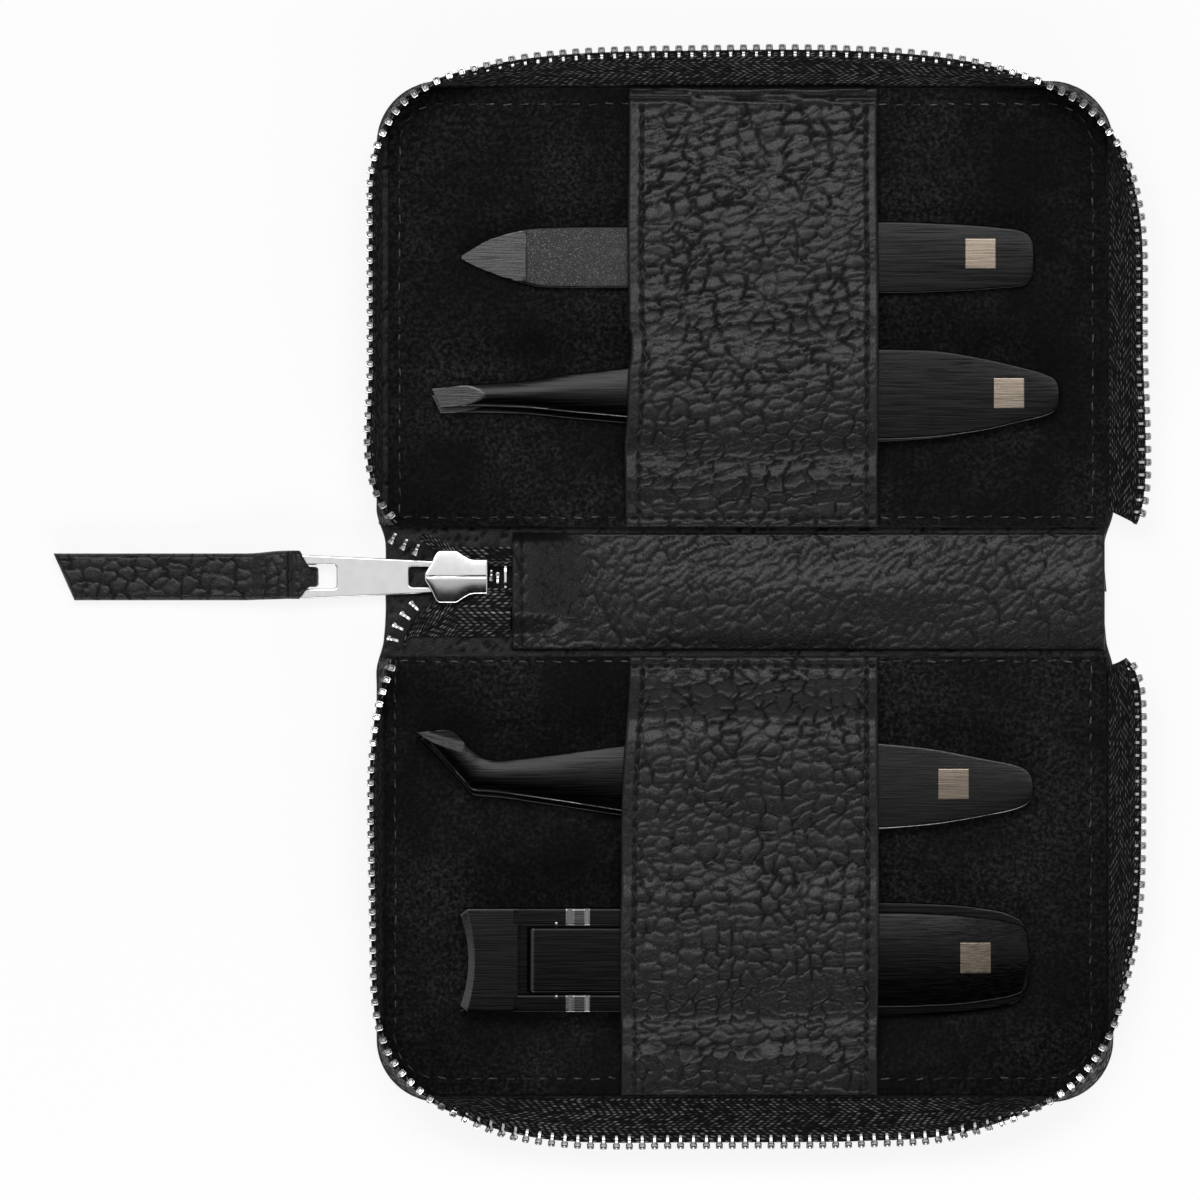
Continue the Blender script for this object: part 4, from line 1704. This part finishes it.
def bent_sheet(x, half, top, low, hollow, across=ACROSS):
    """A metal sheet from its long profile: rings across it, with rounded sides and a slight crown. Across
    runs from side to side, or over a part of the width. The front edge is drawn back in the middle."""
    plan_x = EDGE_X + x[:, None] - hollow[:, None] * JAW_HOLLOW * across[None, :] ** 2
    y = CLIPPER_Y + across[None, :] * half[:, None]
    middle, reach = (across[0] + across[-1]) / 2, (across[-1] - across[0]) / 2
    edge = np.maximum(abs(reach) - np.abs(across - middle), 0.0)[None, :] * half[:, None]
    rounded = 0.26 * (1 - round_over(edge, 0.26))
    upper = np.stack([plan_x, y, top[:, None] - 0.05 * across[None, :] ** 2 - rounded], axis=-1)
    lower = np.stack([plan_x, y, low[:, None] + rounded], axis=-1)
    return loft(sheet_rings(upper, lower))


def row_marks(values, count=len(ACROSS)):
    """A ground mark for each point of a sheet whose rows each have one value."""
    return np.repeat(values, 2 * count)


def lower_shell():
    """Lower jaw and shell in one sheet: up to the cutting edge in front, wider and rounded behind."""
    x = np.concatenate([np.linspace(0, 2.2, 14), np.linspace(2.6, 74.0, 60), 79.4 - 5.2 * (1 - np.sin(
        np.linspace(0.05, math.pi / 2, 26)))])
    rise = LOWER_Z + (MIDDLE_Z - 0.8 - LOWER_Z) * (1 - smooth(x / 1.4))
    half = through([0, 35, 58, 68.3, 75.0, 78.2, 79.2, 79.4], [7.4, 7.4, 8.2, 7.87, 7.05, 6.0, 5.0, 3.4], x)
    shell = bent_sheet(x, half, rise + SHEET / 2, rise - SHEET / 2, 1 - smooth(x / WINDOW[0]))
    return shell, 0 * row_marks(x)


def upper_jaw():
    """The upper jaw: a plate behind the bevelled cutting edge, two arms beside the window with a raised
    step, and a tail that lies on the shell."""
    front = np.concatenate([np.linspace(0, BEVEL[0], 7), np.linspace(BEVEL[0] + 0.05, WINDOW[0], 30)])
    top = UPPER_Z + SHEET / 2 - BEVEL[1] * (1 - np.minimum(front / BEVEL[0], 1.0))
    low = UPPER_Z - SHEET / 2 - 0.85 * (1 - smooth(front / 1.5))
    half = JAW_HALF - 0.8 * (1 - np.minimum(front / 1.0, 1.0))
    parts = [(bent_sheet(front, half, top, low, 1 - smooth(front / WINDOW[0])),
              row_marks(np.where(front < BEVEL[0] + 0.02, 0.19, 0.02)))]
    arms_x = np.concatenate([np.linspace(WINDOW[0] - 0.6, 13.6, 16), np.linspace(13.7, 17.4, 38),
                             np.linspace(17.8, 33.5, 40)])
    up, down = (smooth((arms_x - start) / run) for start, run in (STEP_UP, STEP_DOWN))
    arms_z = UPPER_Z + SHEET / 2 - (UPPER_Z - TAIL_Z) * smooth((arms_x - 24.8) / 8.2)
    on_up, on_down, on_top = (up > 0) * (up < 1), (down > 0) * (down < 1), (up == 1) * (down == 0)
    bright = STEP_TONES[0] * on_up + STEP_TONES[1] * on_down + STEP_TONES[2] * on_top
    for sign in (-1, 1):
        across = sign * (WINDOW[2] + (JAW_HALF - WINDOW[2]) * (ACROSS + 1) / 2) / JAW_HALF
        arm = bent_sheet(arms_x, np.full_like(arms_x, JAW_HALF), arms_z + STEP * up * (1 - down),
                         arms_z - SHEET, 0 * arms_x, across)
        parts.append((arm, row_marks(bright)))
    tail_x = np.linspace(32.5, 45.0, 20)
    level = np.zeros_like(tail_x)
    tail = bent_sheet(tail_x, level + JAW_HALF - 0.01, level + TAIL_Z + SHEET / 2,
                      level + TAIL_Z - SHEET / 2, level)
    parts.append((tail, row_marks(level)))
    pins = [cap_ring(EDGE_X + PIN["x"], CLIPPER_Y + sign * PIN["y"], UPPER_Z, UPPER_Z + PIN["rise"],
                     PIN["radius"]) for sign in (-1, 1)]
    parts += [(pin, np.full(len(pin[0]), 0.9)) for pin in pins]
    return joined([body for body, _ in parts]), np.concatenate([marks for _, marks in parts])


def lever_body():
    """The lever: a thick straight nose at the pin, a narrow blade in the window and a wide crowned rear."""
    x = np.concatenate([np.linspace(0.35, 1.2, 8), np.linspace(1.4, 67.0, 110),
                        71.7 - 4.2 * (1 - np.sin(np.linspace(0.05, math.pi / 2, 24)))])
    half = through([0.35, 25.0, 33.0, 43.0, 51.6, 60.2, 67.4, 70.6, 71.5, 71.7],
                   [4.62, 4.62, 5.6, 6.6, 6.8, 6.53, 5.7, 4.9, 4.0, 2.6], x)
    top = through(*zip(*LEVER_TOP), x)
    low = through([0.35, 0.9, 6.0, 7.5, 43, 51.6, 60.2, 67.4, 71.7],
                  [5.6, 5.0, 5.0, 6.35, 6.35, 6.23, 5.9, 5.2, 4.83], x)
    across = ACROSS[None, :]
    y = CLIPPER_Y + across * half[:, None]
    edge = (1 - np.abs(across)) * half[:, None]
    crown = (0.04 + 0.42 * smooth((x - 26.0) / 18.0))[:, None] * across ** 2
    round_edge = 0.3 * (1 - round_over(edge, 0.3))
    x_grid = EDGE_X + LEVER_START + x[:, None] + 0 * y
    upper = np.stack([x_grid, y, top[:, None] - crown - round_edge], axis=-1)
    lower = np.stack([x_grid, y, low[:, None] + round_edge], axis=-1)
    return loft(sheet_rings(upper, lower)), row_marks(np.where(x < 1.25, 0.12, 0.0))


def cap_ring(x, y, low, high, radius):
    """A short turned button about an upright line."""
    turn = np.linspace(0, 2 * math.pi, 20, endpoint=False)
    profile = [(low, 1.0), (high - 0.12, 1.0), (high - 0.03, 0.85), (high, 0.55)]
    return loft([np.stack([x + radius * share * np.cos(turn), y + radius * share * np.sin(turn),
                           np.full(20, z)], axis=1) for z, share in profile])


def make_clipper():
    """Shell, jaw with the pin's two ends, and lever."""
    tool("clipper_shell", *lower_shell(), "clipper_lower_jaw", "clipper")
    tool("clipper_jaw_plate", *upper_jaw(), "clipper_upper_jaw", "clipper_jaw")
    tool("clipper_lever_blade", *lever_body(), "clipper_lever", "clipper_lever")


make_clipper()

# %% [markdown]
# # Bare badges
# Near its rear end each tool carries a small champagne-coloured square. It is a thin bare plate here,
# with soft corners, laid on the steel.

# %% Badges
BADGE_SIZE = 4.3
BADGES = {  # name: middle x, middle y, body
    "file_badge": (33.5, 48.1, "file"), "tweezers_badge": (37.5, 28.2, "tweezers_leaf"),
    "nipper_badge": (29.6, -27.4, "nipper_leaf"), "clipper_badge": (32.7, -52.1, "clipper_lever"),
}


def steel_top(body, x):
    """Height of the steel in the middle of a tool at a place along X."""
    if body == "clipper_lever":
        return through(*zip(*LEVER_TOP), x - EDGE_X - LEVER_START)
    if body == "file":
        return FILE["low"] + FILE["thick"] + 0 * x
    sizes = TWEEZERS if body == "tweezers_leaf" else NIPPER
    return sizes["low"] + sizes["thick"] + upper_lift(sizes["thick"])((x - sizes["x0"]) / sizes["length"])


def badge(name, x, y, body):
    """A thin square plate that just stands out of the steel and follows its slope and crown."""
    half = BADGE_SIZE / 2
    place = np.concatenate([[-1.0, -0.97], np.linspace(-0.94, 0.94, 9), [0.97, 1.0]])
    grid_x, grid_y = np.meshgrid(x + half * place, y + half * place, indexing="ij")
    z = steel_top(body, grid_x) - 0.12 * ((grid_y - y) / 6.0) ** 2
    edge = np.minimum(half - np.abs(grid_x - x), half - np.abs(grid_y - y))
    upper = np.stack([grid_x, grid_y, z + 0.015 + 0.02 * np.minimum(edge / 0.06, 1.0)], axis=-1)
    under = np.stack([grid_x, grid_y, z - 0.2], axis=-1)
    obj = piece(name, loft(sheet_rings(upper, under)), FINISH["badge"], sharp=40)
    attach(obj, body)


for badge_name, badge_values in BADGES.items():
    badge(badge_name, *badge_values)

# %% [markdown]
# # Stitches
# Thread runs round each lining, down both sides of each band and across the band's ends. One stitch is a
# short arched tube, stamped along lines.

# %% Stitches
STITCH_LENGTH = 1.35
LINING_SEAMS = {  # left, right, near, far
    "lid": (-49.3, 49.5, 10.6, 69.5), "base": (-49.9, 49.3, 9.9, 69.4),
}
SEAM_CORNER = 6.0
SEAM_SUNK = 0.16
LINING_THREAD = {"pitch": 2.43, "thread": "thread", "radius": 0.10, "loose": 0.35}
BAND_THREAD = {"pitch": NEEDLE_PITCH, "thread": "seam", "radius": 0.15, "turn": 0.45}


def stitch_shape(radius):
    """One stitch: a tube that dips into the leather at both ends."""
    t = np.linspace(-1, 1, 7)
    middle = np.stack([t * STITCH_LENGTH / 2, 0.10 * (1 - t ** 4) - 0.06, 0 * t], axis=1)
    turn = np.arange(6) * math.pi / 3
    thick = radius * np.sqrt(np.maximum(1 - 0.85 * t ** 6, 0.05))
    ring = np.stack([0 * turn, np.sin(turn), np.cos(turn)], axis=1)
    return loft(middle[:, None, :] + thick[:, None, None] * ring[None, :, :])


def sew(name, line, body, pitch, thread, radius, turn=0.0, loose=0.0):
    """Stitches along a line of places, each turned in its plane by an angle to left and right in turn.
    Loose ones are also shifted and turned a little by chance."""
    gone = np.concatenate([[0.0], np.cumsum(np.linalg.norm(np.diff(line, axis=0), axis=1))])
    places = np.arange(pitch / 2, gone[-1], pitch)
    count = np.arange(len(places))
    chance = scatter(count, count * 0 + 7, 301)[:, None] - 0.5
    along = unit(at_lengths(np.gradient(line, gone, axis=0), gone, places))
    up = np.array([0.0, 0.0, 1.0]) + 0 * along
    up = unit(up - along * np.sum(up * along, axis=1, keepdims=True))
    side = np.cross(along, up)
    angle = turn * np.where(count % 2, 1.0, -1.0)[:, None] + loose * chance
    spots = at_lengths(line, gone, places) + side * chance * loose * 0.6 - up * (chance + 0.5) * loose * 0.12
    along = along * np.cos(angle) + side * np.sin(angle)
    obj = piece(name, stamp(stitch_shape(radius), spots, along, up), FINISH[thread], sharp=60)
    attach(obj, body)


def rounded_row(left, right, near, far, corner, side, z):
    """A line along the inside of a panel's outline, from the spine out, round and back."""
    turn = np.linspace(0, math.pi / 2, 12)
    start = np.stack([np.full(2, right), [near, far - corner]], axis=1)
    first = np.stack([right - corner + corner * np.cos(turn), far - corner + corner * np.sin(turn)], axis=1)
    second = np.stack([left + corner - corner * np.sin(turn), far - corner + corner * np.cos(turn)], axis=1)
    end = np.stack([np.full(2, left), [far - corner, near]], axis=1)
    flat = np.concatenate([start, first[1:], second, end[1:]])
    return np.column_stack([flat[:, 0], side * flat[:, 1], np.full(len(flat), z)])


def band_line(prefix, place, inset):
    """A line up a band's face along one of its sewn rows, a little below its top."""
    line = BANDS[prefix]["line"]
    y = np.linspace(line[0][0] + 2.0, line[-1][0] - 1.0 - BANDS[prefix]["hem"][0], 200)
    left, right = band_sides(prefix, y)
    x = left + inset if place == "left" else right - inset
    z = BAND_LOW + through(*zip(*line), y) + BAND_HALF - SEAM_SUNK
    return np.column_stack([x, BANDS[prefix]["side"] * y, z])


def all_stitches():
    """Every row of stitches on the case."""
    for prefix, (left, right, near, far) in LINING_SEAMS.items():
        side = BANDS[prefix]["side"]
        edge = rounded_row(left, right, near, far, SEAM_CORNER, side, SUEDE_TOP)
        sew(prefix + "_lining_seam", edge, prefix, **LINING_THREAD)
        row = np.array([(x, side * near, SUEDE_TOP) for x in (left, right)])
        sew(prefix + "_fold_seam", row, prefix, **LINING_THREAD)
        for place, inset in zip(("left", "right"), BAND_SEAMS):
            sew(prefix + "_band_" + place + "_seam", band_line(prefix, place, inset), prefix, **BAND_THREAD)


all_stitches()
